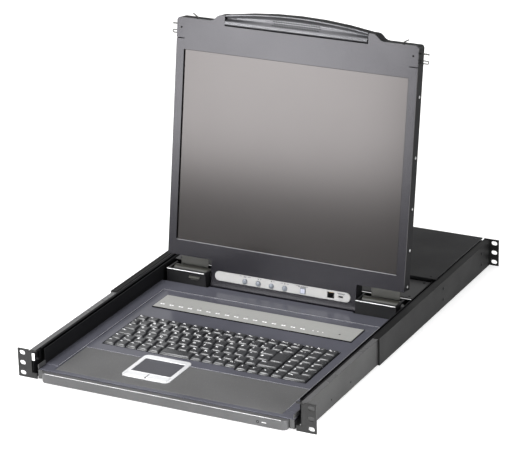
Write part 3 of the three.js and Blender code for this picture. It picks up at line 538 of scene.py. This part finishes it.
KEY_TEXT = {
    "function_keys": ["Esc", *[f"F{n}" for n in range(1, 13)], "PrtSc", "ScrLk"],
    "number_keys": ["~\n`", "!\n1", "@\n2", "#\n3", "$\n4", "%\n5", "^\n6", "&\n7", "*\n8", "(\n9",
                    ")\n0", "_\n-", "+\n=", "|\n\\", "Bksp"],
    "top_letter_keys": ["Tab", *"QWERTYUIOP", "{\n[", "}\n]"],
    "home_letter_keys": ["Caps", *"ASDFGHJKL", ":\n;", "\"\n'", "#"],
    "lower_letter_keys": ["Shift", "<\n>", *"ZXCVBNM", "<\n,", ">\n.", "?\n/", "Up", "Shift"],
    "left_control_keys": ["Ctrl", "Fn", "Alt", "Ins", "Del"],
    "space_bar": [""],
}
PAD_TEXT = [["0", "Enter"], ["1", "2", "3"], ["4", "5", "6"], ["7", "8", "9"], ["Num", "/", "*"],
            ["Home", "PgUp", "PgDn"]]
FIRST_KEY = {"number_keys": 0.7, "top_letter_keys": 1.2, "home_letter_keys": 1.45,
             "lower_letter_keys": 1.0}
ENTER_WIDTH = 1.25


def row_ends(node):
    """The left, right, front and rear edges of a row of keys, its outer gaps included."""
    lo, hi = [DECK.inverted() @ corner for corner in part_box(node)]
    edge = KEY_GAP / 2
    return lo.x - edge, hi.x + edge, lo.y - edge, hi.y + edge


def key_widths(node, width):
    """The widths of a row's keys: its own first one, single ones, and a last one to the end."""
    count = len(KEY_TEXT[node])
    if node in FIRST_KEY:
        first = FIRST_KEY[node] * KEY_PITCH
        singles = [KEY_PITCH] * (count - 2)
        return [first, *singles, width - first - sum(singles)]
    return [width / count] * count


def print_size(text):
    """Size of a cap's print: large for one sign, smaller for two lines, smallest for a word."""
    if len(text) == 1:
        return 6.0
    return 4.8 if text.count("\n") == 1 else 4.1


def key_legend(legends, text, middle, half, dish):
    """One cap's print, at the upper left of its top, one line under the other."""
    def height(x, y):
        return cap_height(x, y, middle, half, dish)

    lines = text.split("\n")
    size = print_size(text)
    for row, line in enumerate(lines):
        left = middle[0] - half[0] + 0.6
        base = middle[1] + half[1] - size * 0.82 - row * (2 * half[1] - size * 0.9)
        if line:
            legends.add(line, left, base, size, height)


def arrow_mark(bm, middle, half, dish, turn):
    """A small triangle that points left, down or right."""
    z = cap_height(middle[0] - half[0] * 0.5, 0, middle, half, dish)
    centre = Vector((middle[0] - half[0] * 0.5, middle[1] + half[1] * 0.4, 0))
    points = []
    for k in range(3):
        a = math.radians(turn + 120 * k)
        points.append(centre + Vector((math.cos(a), math.sin(a), 0)) * 1.9)
    loft(bm, [[(p.x, p.y, z - 0.15) for p in points], [(p.x, p.y, z + 0.06) for p in points]])


def key_row(bm, legends, x, y, widths, texts, dish=DISH):
    """A row of caps from x, between the ends y."""
    edge = KEY_GAP / 2
    for width, text in zip(widths, texts):
        middle, half = keycap(bm, (x + edge, x + width - edge), (y[0] + edge, y[1] - edge), dish)
        key_legend(legends, text, middle, half, dish)
        x += width


def finish_keys(node, caps, legends, marks=None):
    """Makes a row's caps into one piece and its prints into another."""
    body = frame["nodes"][node].get("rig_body")
    piece(f"{node}_caps", caps, DECK, LOOKS["key_plastic"], body, (node,))
    prints = marks or bmesh.new()
    legends.draw(prints)
    if prints.verts:
        piece(f"{node}_legends", prints, DECK, PRINT_WHITE_AND_HIGHLIGHT, body, smooth=False)


def plain_rows():
    """The straight rows; the home row ends in an enter key that is two rows deep."""
    for node, texts in KEY_TEXT.items():
        left, right, front, rear = row_ends(node)
        caps, legends = bmesh.new(), Legends()
        if node == "home_letter_keys":
            enter = right - ENTER_WIDTH * KEY_PITCH
            key_row(caps, legends, enter, (front, rear), [right - enter], ["Enter"])
            rear, right = front + ROW_PITCH, enter
        dish = SPACE_DISH if node == "space_bar" else DISH
        widths = key_widths(node, right - left)
        key_row(caps, legends, left, (front, rear), widths, texts, dish)
        finish_keys(node, caps, legends)


def right_control_keys():
    """Four keys beside the space bar, and three arrow keys that stand a little nearer the user."""
    node = "right_control_keys"
    left, right, front, rear = row_ends(node)
    arrow_width = 18.47
    arrows_left = right - 3 * arrow_width
    controls_right = arrows_left - 1.2
    caps, legends, marks = bmesh.new(), Legends(), bmesh.new()
    width = (controls_right - left) / 4
    texts = ["Alt", "Fn", "Menu", "Ctrl"]
    key_row(caps, legends, left, (rear - ROW_PITCH, rear), [width] * 4, texts)
    edge = KEY_GAP / 2
    for k, turn in enumerate((180, -90, 0)):
        x = arrows_left + k * arrow_width
        ends = (x + edge, x + arrow_width - edge)
        middle, half = keycap(caps, ends, (front + edge, front + ROW_PITCH - edge), DISH)
        arrow_mark(marks, middle, half, DISH, turn)
    finish_keys(node, caps, legends, marks)


def numeric_keys():
    """Six rows of three keys; the front one has a wide key."""
    node = "numeric_keys"
    left, right, front, rear = row_ends(node)
    depth = (rear - front) / 6
    caps, legends = bmesh.new(), Legends()
    for row, texts in enumerate(PAD_TEXT):
        y = front + row * depth
        widths = [PAD_PITCH] * 3 if row else [PAD_PITCH, 2 * PAD_PITCH]
        key_row(caps, legends, left, (y, y + depth), widths, texts)
    finish_keys(node, caps, legends)


plain_rows()
right_control_keys()
numeric_keys()


# ---------------------------------------------------------------- screen
def display():
    """The panel behind the bezel: a metal tray with a black border, whose strips along the
    opening's sides and top are also painted shade in the recess; the visible glass; and a painted
    highlight along the opening's lower edge.
    """
    tray = bmesh.new()
    face = 7.3  # front of the tray, where the glass lies
    block(tray, (-191, 191), (46, 356), (-3, face))
    # black strips lining the opening's sides and top: the panel's black border, and painted shade
    # where the bezel's recess lies in shadow
    liner = 0.4
    inner = VIEW_X - 0.08
    for side in (-1, 1):
        x = sorted((side * inner, side * (inner - liner)))
        block(tray, x, (VIEW_UP[0] + 0.2, VIEW_UP[1] - 0.2), (7.2, LCD_FACE - 0.5))
    block(tray, (-inner, inner), (VIEW_UP[1] - 0.5, VIEW_UP[1] - 0.1), (7.2, LCD_FACE - 0.5))
    piece("display_tray", tray, SCREEN, BLACK_AND_PAINTED_SHADE, "screen", ("lcd_panel",), 0.1)
    glass = bmesh.new()
    block(glass, (-190.6, 190.6), (46.4, 355.6), (face, 7.7))
    piece("display_glass", glass, SCREEN, LOOKS["screen_glass"], "screen",
          ("lcd_panel",), 0.1)
    # a light strip along the opening's lower edge: a painted highlight where the bezel's lip
    # catches light
    lower_edge_highlight = bmesh.new()
    block(lower_edge_highlight, (-inner, inner), (VIEW_UP[0] + 0.1, VIEW_UP[0] + 0.35), (7.2, LCD_FACE - 0.2))
    piece("display_lower_edge_highlight", lower_edge_highlight, SCREEN, PAINTED_EDGE_HIGHLIGHT, "screen", edge=0.1)


def crown(x):
    """Height of the handle's top edge, an arc that meets the screen's outline at both ends."""
    share = x / HANDLE_HALF
    return HANDLE_CROWN - (HANDLE_CROWN - HANDLE_END) * share * share - 0.25


def handle_front(x):
    """The handle's visible face at x: a bulge at its foot, a scoop above it, a thin rim on top."""
    top = crown(x)
    foot = HANDLE_FOOT + 0.9
    bulge = ((0, 0.1), (0.1, 1.6), (0.4, 2.8), (1.1, 3.8), (2.1, 4.3), (3.3, 4.5), (4.6, 4.2),
             (5.8, 3.5), (7.0, 2.5))
    front = [(foot + up, SEAT + out) for up, out in bulge]
    start, rise = front[-1][0], top - 2.6 - front[-1][0]
    scoop = ((0.1, 1.3), (0.22, -0.2), (0.34, -1.4), (0.46, -2.2), (0.58, -2.4), (0.7, -2.0),
             (0.82, -1.0), (0.92, 0.3), (1.0, 1.7))
    front += [(start + rise * share, SEAT + out) for share, out in scoop]
    rim = ((2.0, LCD_FACE - 0.3), (1.5, LCD_FACE), (0.4, LCD_FACE - 0.1), (0, LCD_FACE - 0.8))
    return front + [(top - down, out) for down, out in rim]


def handle_profile(x):
    """The handle's whole cut at x, its plain back included."""
    top = crown(x)
    deep = SEAT - 4
    back = [(top, SEAT + 0.1), (top - 2.2, SEAT + 0.1), (top - 2.5, deep),
            (HANDLE_FOOT + 9.5, deep), (HANDLE_FOOT + 7.5, SEAT + 0.1)]
    return handle_front(x) + back


def on_face(front, up):
    """The point and the outward direction of the handle's face at a height."""
    for (up0, out0), (up1, out1) in zip(front, front[1:]):
        if up0 <= up < up1:
            out = out0 + (out1 - out0) * (up - up0) / (up1 - up0)
            return (up, out), (out0 - out1, up1 - up0)
    raise ValueError("no such height on the handle")


def handle():
    """The pull handle along the top edge, with its rows of small holes."""
    stations = 49
    half = HANDLE_HALF - 0.7
    bm = bmesh.new()
    rings = []
    for i in range(stations):
        x = -half + 2 * half * i / (stations - 1)
        rings.append([(x, up, out) for up, out in handle_profile(x)])
    loft(bm, rings)
    piece("handle_bar", bm, SCREEN, LOOKS["handle_plastic"], "screen",
          ("screen_handle",))
    # rows of black discs in place of the small holes: painted shade inside them
    holes = bmesh.new()
    pitch, row_pitch, half_width = 4.2, 3.1, 39
    for row in range(3):
        up = HANDLE_FOOT + 9.0 + row * row_pitch
        x = -half_width + (pitch / 2 if row % 2 else 0)
        while x < half_width:
            (up, out), (lean, face) = on_face(handle_front(x), up)
            placed(holes, standing((x, up, out), (0, lean, face)), pit, 1.15, 0.2)
            x += pitch
    piece("handle_holes", holes, SCREEN, BLACK_AND_PAINTED_SHADE, "screen")


def latches():
    """Spring-wire latches in the screen's upper corners, each with a lever to draw it in."""
    middle = -0.5
    root, reach = 172, LCD_HALF + 13.6  # inner and outer ends of the wires
    prong = 387.6
    loop = (373.2, 377.4)
    for label, side in (("left", -1), ("right", 1)):
        bm = bmesh.new()
        pointed = [(root, prong), (reach - 3, prong), (reach, prong - 0.6)]
        bent_back = [(root, loop[1]), (reach - 1, loop[1]), (reach - 1, loop[0]), (root, loop[0])]
        lever = [(root + 2, 388), (root + 1, SHOULDER - 3), (root - 1, SHOULDER + 0.8),
                 (root + 8, SHOULDER + 6)]
        for path, radius, bend, tip in (
            (pointed, 1.3, 1.2, 0.4), (bent_back, 0.95, 1.8, 1.0), (lever, 1.1, 1.5, 1.0),
        ):
            wire(bm, [(side * x, up, middle) for x, up in path], radius, bend, tip)
        block(bm, sorted((side * root, side * 196)), (371.6, 391), (-1.1, 0.1))
        piece(f"{label}_latch_wires", bm, SCREEN, LOOKS["spring_steel"], f"{label}_latch",
              (f"{label}_screen_latch",))


def side_screws():
    """Screws in the screen's two sides, and the row on its back."""
    bm = bmesh.new()
    for side in (-1, 1):
        for up in (31.7, 88, 152, 230, 322):
            centre = (side * (LCD_HALF + 0.05), up, -3)
            placed(bm, standing(centre, (side, 0, 0)), screw_head, 2.2, 0.7)
    piece("screen_side_screws", bm, SCREEN, LOOKS["slide_steel"], "screen")
    back = bmesh.new()
    for x in (-190, -66, 66, 190):
        for up in (36, 215, 388):
            placed(back, standing((x, up, LCD_BACK + 0.05), (0, 0, -1)), screw_head, 2.6, 0.8)
    piece("screen_back_screws", back, SCREEN, LOOKS["hinge_black"], "screen")
    # black discs for the bezel's corner holes: painted shade inside them
    corners = bmesh.new()
    for side in (-1, 1):
        placed(corners, Matrix.Translation((side * 193.5, 384.5, LCD_FACE)), pit, 1.6, 0.05)
    piece("bezel_corner_holes", corners, SCREEN, BLACK_AND_PAINTED_SHADE, "screen")


def back_vents():
    """Two fields of slots in the screen's back, each slot a black block with painted shade for its
    recess, and a raised rim.
    """
    bm = bmesh.new()
    rims = bmesh.new()
    first, pitch, height, rim = 300, 6.5, 2.2, 0.6
    slot_depth = (LCD_BACK - 0.06, LCD_BACK + 0.8)
    rim_depth = (LCD_BACK - 0.25, LCD_BACK + 0.8)
    for side in (-1, 1):
        for row in range(9):
            up = first + row * pitch
            x = sorted((side * 40, side * 150))
            block(bm, x, (up, up + height), slot_depth)
            for edge in (up - rim, up + height):
                block(rims, (x[0] - rim, x[1] + rim), (edge, edge + rim), rim_depth)
            for end in (x[0] - rim, x[1]):
                block(rims, (end, end + rim), (up, up + height), rim_depth)
    piece("back_vent_slots", bm, SCREEN, BLACK_AND_PAINTED_SHADE, "screen", smooth=False)
    piece("back_vent_rims", rims, SCREEN, LOOKS["chassis_paint"], "screen",
          smooth=False)


def menu_buttons():
    """The four round buttons under the screen, with domed metal caps."""
    for i in range(1, 5):
        lo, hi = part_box(f"menu_button_{i}")
        centre = SCREEN.inverted() @ ((lo + hi) / 2)
        bm = bmesh.new()
        place = Matrix.Translation((centre.x, 0.6, 3.2))
        placed(bm, place, turned, (
            (4.2, 0), (4.2, 8.0), (4.1, 8.5), (3.8, 8.8), (3.2, 9.0), (2.2, 9.15), (1.2, 9.2),
            (0.1, 9.2)))
        piece(f"menu_button_{i}_cap", bm, SCREEN, LOOKS["button_metal"], f"menu_button_{i}",
              (f"menu_button_{i}",))


def caption_dashes(bm, z):
    """Rows of short bars in place of the captions' small print."""
    captions = (  # ends along the strip, height over the hinge
        (-74, -69, 8.7), (-60, -54, 8.4), (-38, -35.5, 8.2), (-15.5, -12.5, 8.2), (-3, 0.8, 8.3),
        (7.2, 11, 8.2), (24, 31, 8.8), (32, 45, 8.8), (27, 42, 7.4), (93, 107, 7.7), (95, 105, 6.4),
    )
    dash, gap = 1.5, 0.45
    for start, end, height in captions:
        x = start
        while x + dash <= end + 0.01:
            block(bm, (x, x + dash), (height - 0.5, height + 0.5), z)
            x += dash + gap


def strip_icons():
    """Plain marks over the controls: menu lines, down, up, a cross, and bars for the captions."""
    bm = bmesh.new()
    z = (STRIP_FACE - 0.1, STRIP_FACE + 0.06)
    up = 8.0
    for k in range(3):
        block(bm, (-67, -62.4), (up - 1.1 + k * 1.1, up - 0.6 + k * 1.1), z)
    for x, turn in ((-41.6, -90), (-18.8, 90)):
        corners = [math.radians(turn + 120 * k) for k in range(3)]
        outline = [(x + 1.6 * math.cos(a), up + 1.6 * math.sin(a)) for a in corners]
        loft(bm, [[(*p, h) for p in outline] for h in z])
    for turn in (45, -45):
        bar = Matrix.Translation((4, up, 0)) @ Matrix.Rotation(math.radians(turn), 4, "Z")
        placed(bm, bar, block, (-1.6, 1.6), (-0.3, 0.3), z)
    caption_dashes(bm, z)
    piece("strip_icons", bm, SCREEN, ICON_DARK, "screen", smooth=False)


def power_lens():
    """The clear face of the square power button."""
    lens = bmesh.new()
    loft(lens, [rounded_ring((31.6, 38.4), (-1.9, 4.9), h, 0.8) for h in (11.7, 11.9)])
    piece("power_lens", lens, SCREEN, glow("power_lens", (0.4, 0.41, 0.5), 0.02),
          "screen_power_button", edge=0.1)


def jack_contacts():
    """Gold contacts inside the small upgrade jack."""
    bm = bmesh.new()
    for k in range(6):
        x = 78.2 + k * 1.6
        block(bm, (x, x + 0.6), (5.6, 6.2), (0.2, 6.5))
    piece("jack_contacts", bm, SCREEN, GOLD, "screen", smooth=False)


display()
handle()
latches()
side_screws()
back_vents()
menu_buttons()
strip_icons()
power_lens()
jack_contacts()


# ---------------------------------------------------------------- hinges
def hinge_trim():
    """A bright bar and two nuts on each hinge block, and the small catch under the left one."""
    for label, side in (("left", -1), ("right", 1)):
        bm = bmesh.new()
        start, stop = sorted((side * 130, side * 195))
        path = [(x, 369.2, 39.3) for x in (start, (start + stop) / 2, stop)]
        wire(bm, path, 0.8, 1.0, sides=14)
        piece(f"{label}_hinge_bar", bm, DECK, LOOKS["slide_steel"], "drawer")
        nuts = bmesh.new()
        nut = ((5, -0.3), (5, 1.6), (4.6, 2), (2.4, 2), (2.2, 2.6), (0.1, 2.7))
        for end, outward in ((128, -1), (196, 1)):
            facing = outward * side
            place = standing((side * end + facing * 0.1, 391.7, 31), (facing, 0, 0))
            placed(nuts, place, turned, nut, 6)
        piece(f"{label}_hinge_nuts", nuts, DECK, LOOKS["slide_steel"], "drawer")
    catch = bmesh.new()
    loft(catch, [[(x, 369.8, 33.2), (x, 366.0, 31.2), (x, 366.2, 30.2), (x, 369.8, 30.0)]
                 for x in (-156, -137)])
    block(catch, (-153, -140), (366.9, 369.8), (27.9, 28.9))
    piece("screen_catch", catch, DECK, LOOKS["hinge_grey"], "drawer", edge=0.4)


hinge_trim()


# ---------------------------------------------------------------- deck
def port_marks():
    """On the port panel: two lamp windows and a number for each port, and three lock lamps."""
    windows = bmesh.new()
    numbers = Legends()
    pitch, first = 15.9, -157
    near, far = 282.3, 284.9
    z = (PANEL_TOP - 0.1, PANEL_TOP + 0.08)
    for k in range(16):
        x = first + k * pitch
        for shift in (-3.6, 0.4):
            ends = (x + shift, x + shift + 3.3)
            loft(windows, [rounded_ring(ends, (near, far), h, 0.7) for h in z])
        numbers.add(f"{k + 1:02d}", x - 2.2, 290.5, 3.0, lambda x, y: PANEL_TOP)
    for k in range(3):
        x = 98 + 8 * k
        loft(windows, [rounded_ring((x, x + 2), (283, 284.6), h, 0.5) for h in z])
    piece("panel_lamps", windows, DECK, PRINT_WHITE_AND_HIGHLIGHT, "drawer", smooth=False)
    bm = bmesh.new()
    numbers.draw(bm)
    piece("panel_numbers", bm, DECK, NUMBER_GREY, "drawer", smooth=False)


def frame_line(bm, x, y, z, width):
    """Four thin bars round a rectangle, laid on a surface."""
    (x0, x1), (y0, y1) = x, y
    block(bm, x, (y0 - width, y0), z)
    block(bm, x, (y1, y1 + width), z)
    for ends in ((x0 - width, x0), (x1, x1 + width)):
        block(bm, ends, (y0 - width, y1 + width), z)


def deck_lines():
    """A dark line round the port panel, painted shadow under its edges, and painted highlights
    along the pressed edges of the deck and the lip's top edge.
    """
    # a black frame round the port panel: painted shadow under the panel's raised edges
    shadow_line = bmesh.new()
    top = DECK_TOP
    frame_line(shadow_line, (-167.2, 167.2), (270.8, 318.2), (top - 0.1, top + 0.06), 1.3)
    block(shadow_line, (-167.3, 167.3), (269.6, 271.02), (top, PANEL_TOP - 0.3))
    piece("panel_shadow_line", shadow_line, DECK, BLACK_AND_PAINTED_SHADE, "drawer", smooth=False)
    # light lines along the deck's raised edges: painted highlights
    bright = bmesh.new()
    step = top + DECK_STEP
    block(bright, (-183.6, 183.6), (336.4, 337.0), (step - 0.1, step + 0.08))
    block(bright, (-183, 183), (97.6, 98.1), (top - 0.1, top + 0.1))
    for side in (-1, 1):
        block(bright, sorted((side * 184, side * 184.4)), (21, 336), (step - 0.1, step + 0.06))
    piece("deck_edge_highlights", bright, DECK, PAINTED_EDGE_HIGHLIGHT, "drawer", smooth=False)
    # a white line on the lip's top edge: a painted highlight
    lip = bmesh.new()
    block(lip, (-190, 190), (-8.9, -8.2), (15.0, 15.36))
    piece("lip_edge_highlight", lip, DECK, PRINT_WHITE_AND_HIGHLIGHT, "drawer", edge=0.1)


def drawer_front_ends():
    """The folded plates between the lip's ends and the rack ears, and the left one's white stop."""
    outer = 206.4
    for label, side in (("left", -1), ("right", 1)):
        bm = bmesh.new()
        block(bm, sorted((side * 199, side * outer)), (-0.6, 0.6), (2, 15.6))
        block(bm, sorted((side * 204.9, side * outer)), (-0.4, 19), (17, 23.5))
        piece(f"{label}_drawer_end", bm, DECK, LOOKS["rail_paint"], "drawer", edge=0.3)
    stop = bmesh.new()
    block(stop, (-216.4, -212.2), (0.2, 1.9), (28, 39.5))
    piece("left_drawer_stop", stop, DECK, PRINT_WHITE_AND_HIGHLIGHT, "drawer", edge=0.3)
    arm = bmesh.new()
    block(arm, (-212.3, -205.4), (0.5, 1.7), (31, 34))
    piece("left_drawer_stop_arm", arm, DECK, LOOKS["wall_paint"], "drawer", edge=0.2)


def lip_lamps():
    """The power lamp on the front lip, and the mark beside it."""
    place = standing((154.1, -9.2, 7.1), (0, -1, 0))
    ring = bmesh.new()
    placed(ring, place, turned,
           ((2.2, -0.4), (2.2, 0.1), (1.9, 0.13), (1.3, 0.1), (0.1, 0.05)), 16)
    piece("lip_lamp_ring", ring, DECK, BLACK_AND_PAINTED_SHADE, "drawer")
    mark = bmesh.new()
    for start, end in ((160.6, 162.4), (163, 165.4), (166, 167.4)):
        block(mark, (start, end), (-9.34, -9.2), (6.8, 7.9))
    piece("lip_mark", mark, DECK, PRINT_WHITE_AND_HIGHLIGHT, "drawer", smooth=False)


def button_line():
    """A rubber bed under the touchpad's buttons, with a dark rib in the slot between them."""
    bm = bmesh.new()
    lo, hi = [DECK.inverted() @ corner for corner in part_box("left_touch_button")]
    bed = 13.3
    block(bm, (-83, -15), (33.5, 49.5), (bed - 0.4, bed))
    block(bm, (hi.x + 0.05, hi.x + 0.55), (lo.y + 0.6, hi.y - 0.6), (bed - 0.1, hi.z - 0.05))
    piece("touch_button_seal", bm, DECK, BLACK_AND_PAINTED_SHADE, "drawer", edge=0.1)


port_marks()
deck_lines()
drawer_front_ends()
lip_lamps()
button_line()


# ---------------------------------------------------------------- rails and housing
def rail_flanges():
    """A thin skin on each mount bracket's folded top edge, in a lighter paint: a painted highlight
    where light from above falls.
    """
    for label, side in (("left", -1), ("right", 1)):
        bm = bmesh.new()
        block(bm, sorted((side * 214.2, side * 222.5)), (2.3, 671), (41.3, 41.6))
        piece(f"{label}_rail_flange_highlight", bm, DECK, LOOKS["flange_painted_highlight"], "rack_frame",
              edge=0.1)


def rail_screws():
    """Screws in the sides of the rails and rear brackets, and in the covers."""
    rail_side, sleeve_side, cover_top, plate_top = 222.8, 225.1, 43.5, 38.0
    for label, side in (("left", -1), ("right", 1)):
        rail = bmesh.new()
        for y in (85.6, 150, 330):
            place = standing((side * rail_side, y, 13.2), (side, 0, 0))
            placed(rail, place, screw_head, 1.6, 0.5)
        piece(f"{label}_rail_screws", rail, DECK, LOOKS["hinge_black"], "rack_frame")
        sleeve = bmesh.new()
        for y in (484.4, 640):
            for z in (12.5, 31):
                place = standing((side * sleeve_side, y, z), (side, 0, 0))
                placed(sleeve, place, screw_head, 2.6, 0.8)
        piece(f"{label}_sleeve_screws", sleeve, DECK, LOOKS["hinge_black"],
              f"{label}_depth_bracket")
    cover = bmesh.new()
    for x in (-200, -67, 67, 200):
        for y in (494, 669):
            placed(cover, standing((x, y, cover_top), (0, 0, 1)), screw_head, 2.4, 0.45)
    piece("cover_screws", cover, DECK, LOOKS["hinge_black"], "rack_frame")
    plate = bmesh.new()
    for x in (-196, -70, 70, 196):
        for y in (420, 477):
            placed(plate, standing((x, y, plate_top), (0, 0, 1)), screw_head, 2.2, 0.6)
    piece("plate_screws", plate, DECK, LOOKS["hinge_black"], "drawer")


def port_details():
    """For each rear connector: metal flanges, two hex posts, a dark face and gold contacts."""
    flanges, faces, pins = bmesh.new(), bmesh.new(), bmesh.new()
    first, pitch = -171.5, 33
    places = [(first + pitch * k, z) for z in (12.5, 28.5) for k in range(8)] + [(97, 20)]
    wall, front = HOUSING_REAR, HOUSING_REAR + 5
    reach, height, half = 8.5, 4.25, 13.8
    shell = ((-reach + 2.2, -height + 1), (reach - 2.2, -height + 1),
             (reach - 1.2, height - 1), (-reach + 1.2, height - 1))
    post = ((2.3, 0), (2.3, 2.6), (2.0, 3.0), (1.1, 3.0), (0.9, 1.2), (0.1, 1.1))
    pin = ((0.4, -0.1), (0.4, 0.04), (0.05, 0.05))
    for x, z in places:
        loft(faces, [[(x + dx, depth, z + dz) for dx, dz in shell]
                     for depth in (front - 0.2, front + 0.02)])
        block(flanges, (x - half, x - 10), (wall, wall + 0.8), (z - 5.6, z + 5.6))
        block(flanges, (x + 10, x + half), (wall, wall + 0.8), (z - 5.6, z + 5.6))
        for side in (-1, 1):
            place = standing((x + side * 12, wall + 0.7, z), (0, 1, 0))
            placed(flanges, place, turned, post, 6)
        for row in (-1, 0, 1):
            for k in range(5):
                centre = (x + (k - 2) * 2.3 + row * 0.4, front, z + row * 1.8)
                placed(pins, standing(centre, (0, 1, 0)), turned, pin, 6)
    piece("port_flanges", flanges, DECK, LOOKS["slide_steel"], "rack_frame")
    piece("port_faces", faces, DECK, LOOKS["port_plastic"], "rack_frame",
          smooth=False)
    piece("port_pins", pins, DECK, GOLD, "rack_frame", smooth=False)


rail_flanges()
rail_screws()
port_details()


# ---------------------------------------------------------------- floor, light and camera
def studio():
    """A plain pale floor and soft lights."""
    bm = bmesh.new()
    bmesh.ops.create_grid(bm, x_segments=1, y_segments=1, size=14)
    mesh = bpy.data.meshes.new("floor")
    bm.to_mesh(mesh)
    bm.free()
    floor = bpy.data.objects.new("floor", mesh)
    floor.location.z = -0.5 * MM
    paint = surface("floor_paint", (0.7, 0.7, 0.7), 0.9, vary=0.01, bump=0.02, specular=0.1)
    glaze = paint.node_tree.nodes["Principled BSDF"]
    glaze.inputs["Emission Color"].default_value = (1, 1, 1, 1)
    glaze.inputs["Emission Strength"].default_value = 0.6
    mesh.materials.append(paint)
    bpy.context.scene.collection.objects.link(floor)

    world = bpy.data.worlds.new("studio")
    world.use_nodes = True
    world.node_tree.nodes["Background"].inputs["Color"].default_value = (1, 1, 1, 1)
    world.node_tree.nodes["Background"].inputs["Strength"].default_value = 0.35
    bpy.context.scene.world = world


def softbox(name, place, target, size, power, spread):
    """A rectangular lamp at a place, turned to a target and hidden from the camera."""
    light = bpy.data.lights.new(name, "AREA")
    light.shape = "RECTANGLE"
    light.size, light.size_y = size
    light.energy = power
    light.spread = math.radians(spread)
    lamp = bpy.data.objects.new(name, light)
    lamp.location = place
    lamp.rotation_euler = (Vector(target) - Vector(place)).to_track_quat("-Z", "Y").to_euler()
    lamp.visible_camera = False
    bpy.context.scene.collection.objects.link(lamp)


def camera():
    """The camera, solved from the rack's slots and the object's straight edges."""
    lens = bpy.data.cameras.new("camera")
    lens.lens = 173.64
    lens.sensor_width = 36
    lens.shift_x = -0.0151
    lens.shift_y = -0.0042
    eye = bpy.data.objects.new("camera", lens)
    eye.location = (1.5954, -3.12725, 1.5057)
    eye.rotation_euler = [math.radians(a) for a in (68.8346, 1.1392, 26.6150)]
    bpy.context.scene.collection.objects.link(eye)
    bpy.context.scene.camera = eye


def skylight(direction, strength, spread):
    """A wide soft light from far above."""
    light = bpy.data.lights.new("skylight", "SUN")
    light.energy = strength
    light.angle = math.radians(spread)
    lamp = bpy.data.objects.new("skylight", light)
    lamp.rotation_euler = Vector(direction).to_track_quat("-Z", "Y").to_euler()
    bpy.context.scene.collection.objects.link(lamp)


studio()
skylight((0.2, 0.2, -1), 1.5, 60)
softbox("key_card", (-0.6, -0.7, 1.3), (0, -0.1, 0.02), (0.5, 0.5), 6, 140)
softbox("screen_card", (-0.7, -1.35, 0.425), (0, 0.05, 0.3), (0.62, 0.68), 2.6, 60)
softbox("rail_card", (0.7, -0.6, 0.12), (0.23, -0.3, 0.02), (0.3, 0.2), 1.7, 100)
softbox("rear_card", (-0.75, 1.6, 0.7), (0, 0.1, 0.05), (1.0, 0.6), 1.1, 180)
softbox("back_card", (0.3, 2.1, 0.3), (0, 0.1, 0.25), (0.7, 0.5), 11, 180)
camera()
bpy.context.scene.view_settings.view_transform = "Standard"
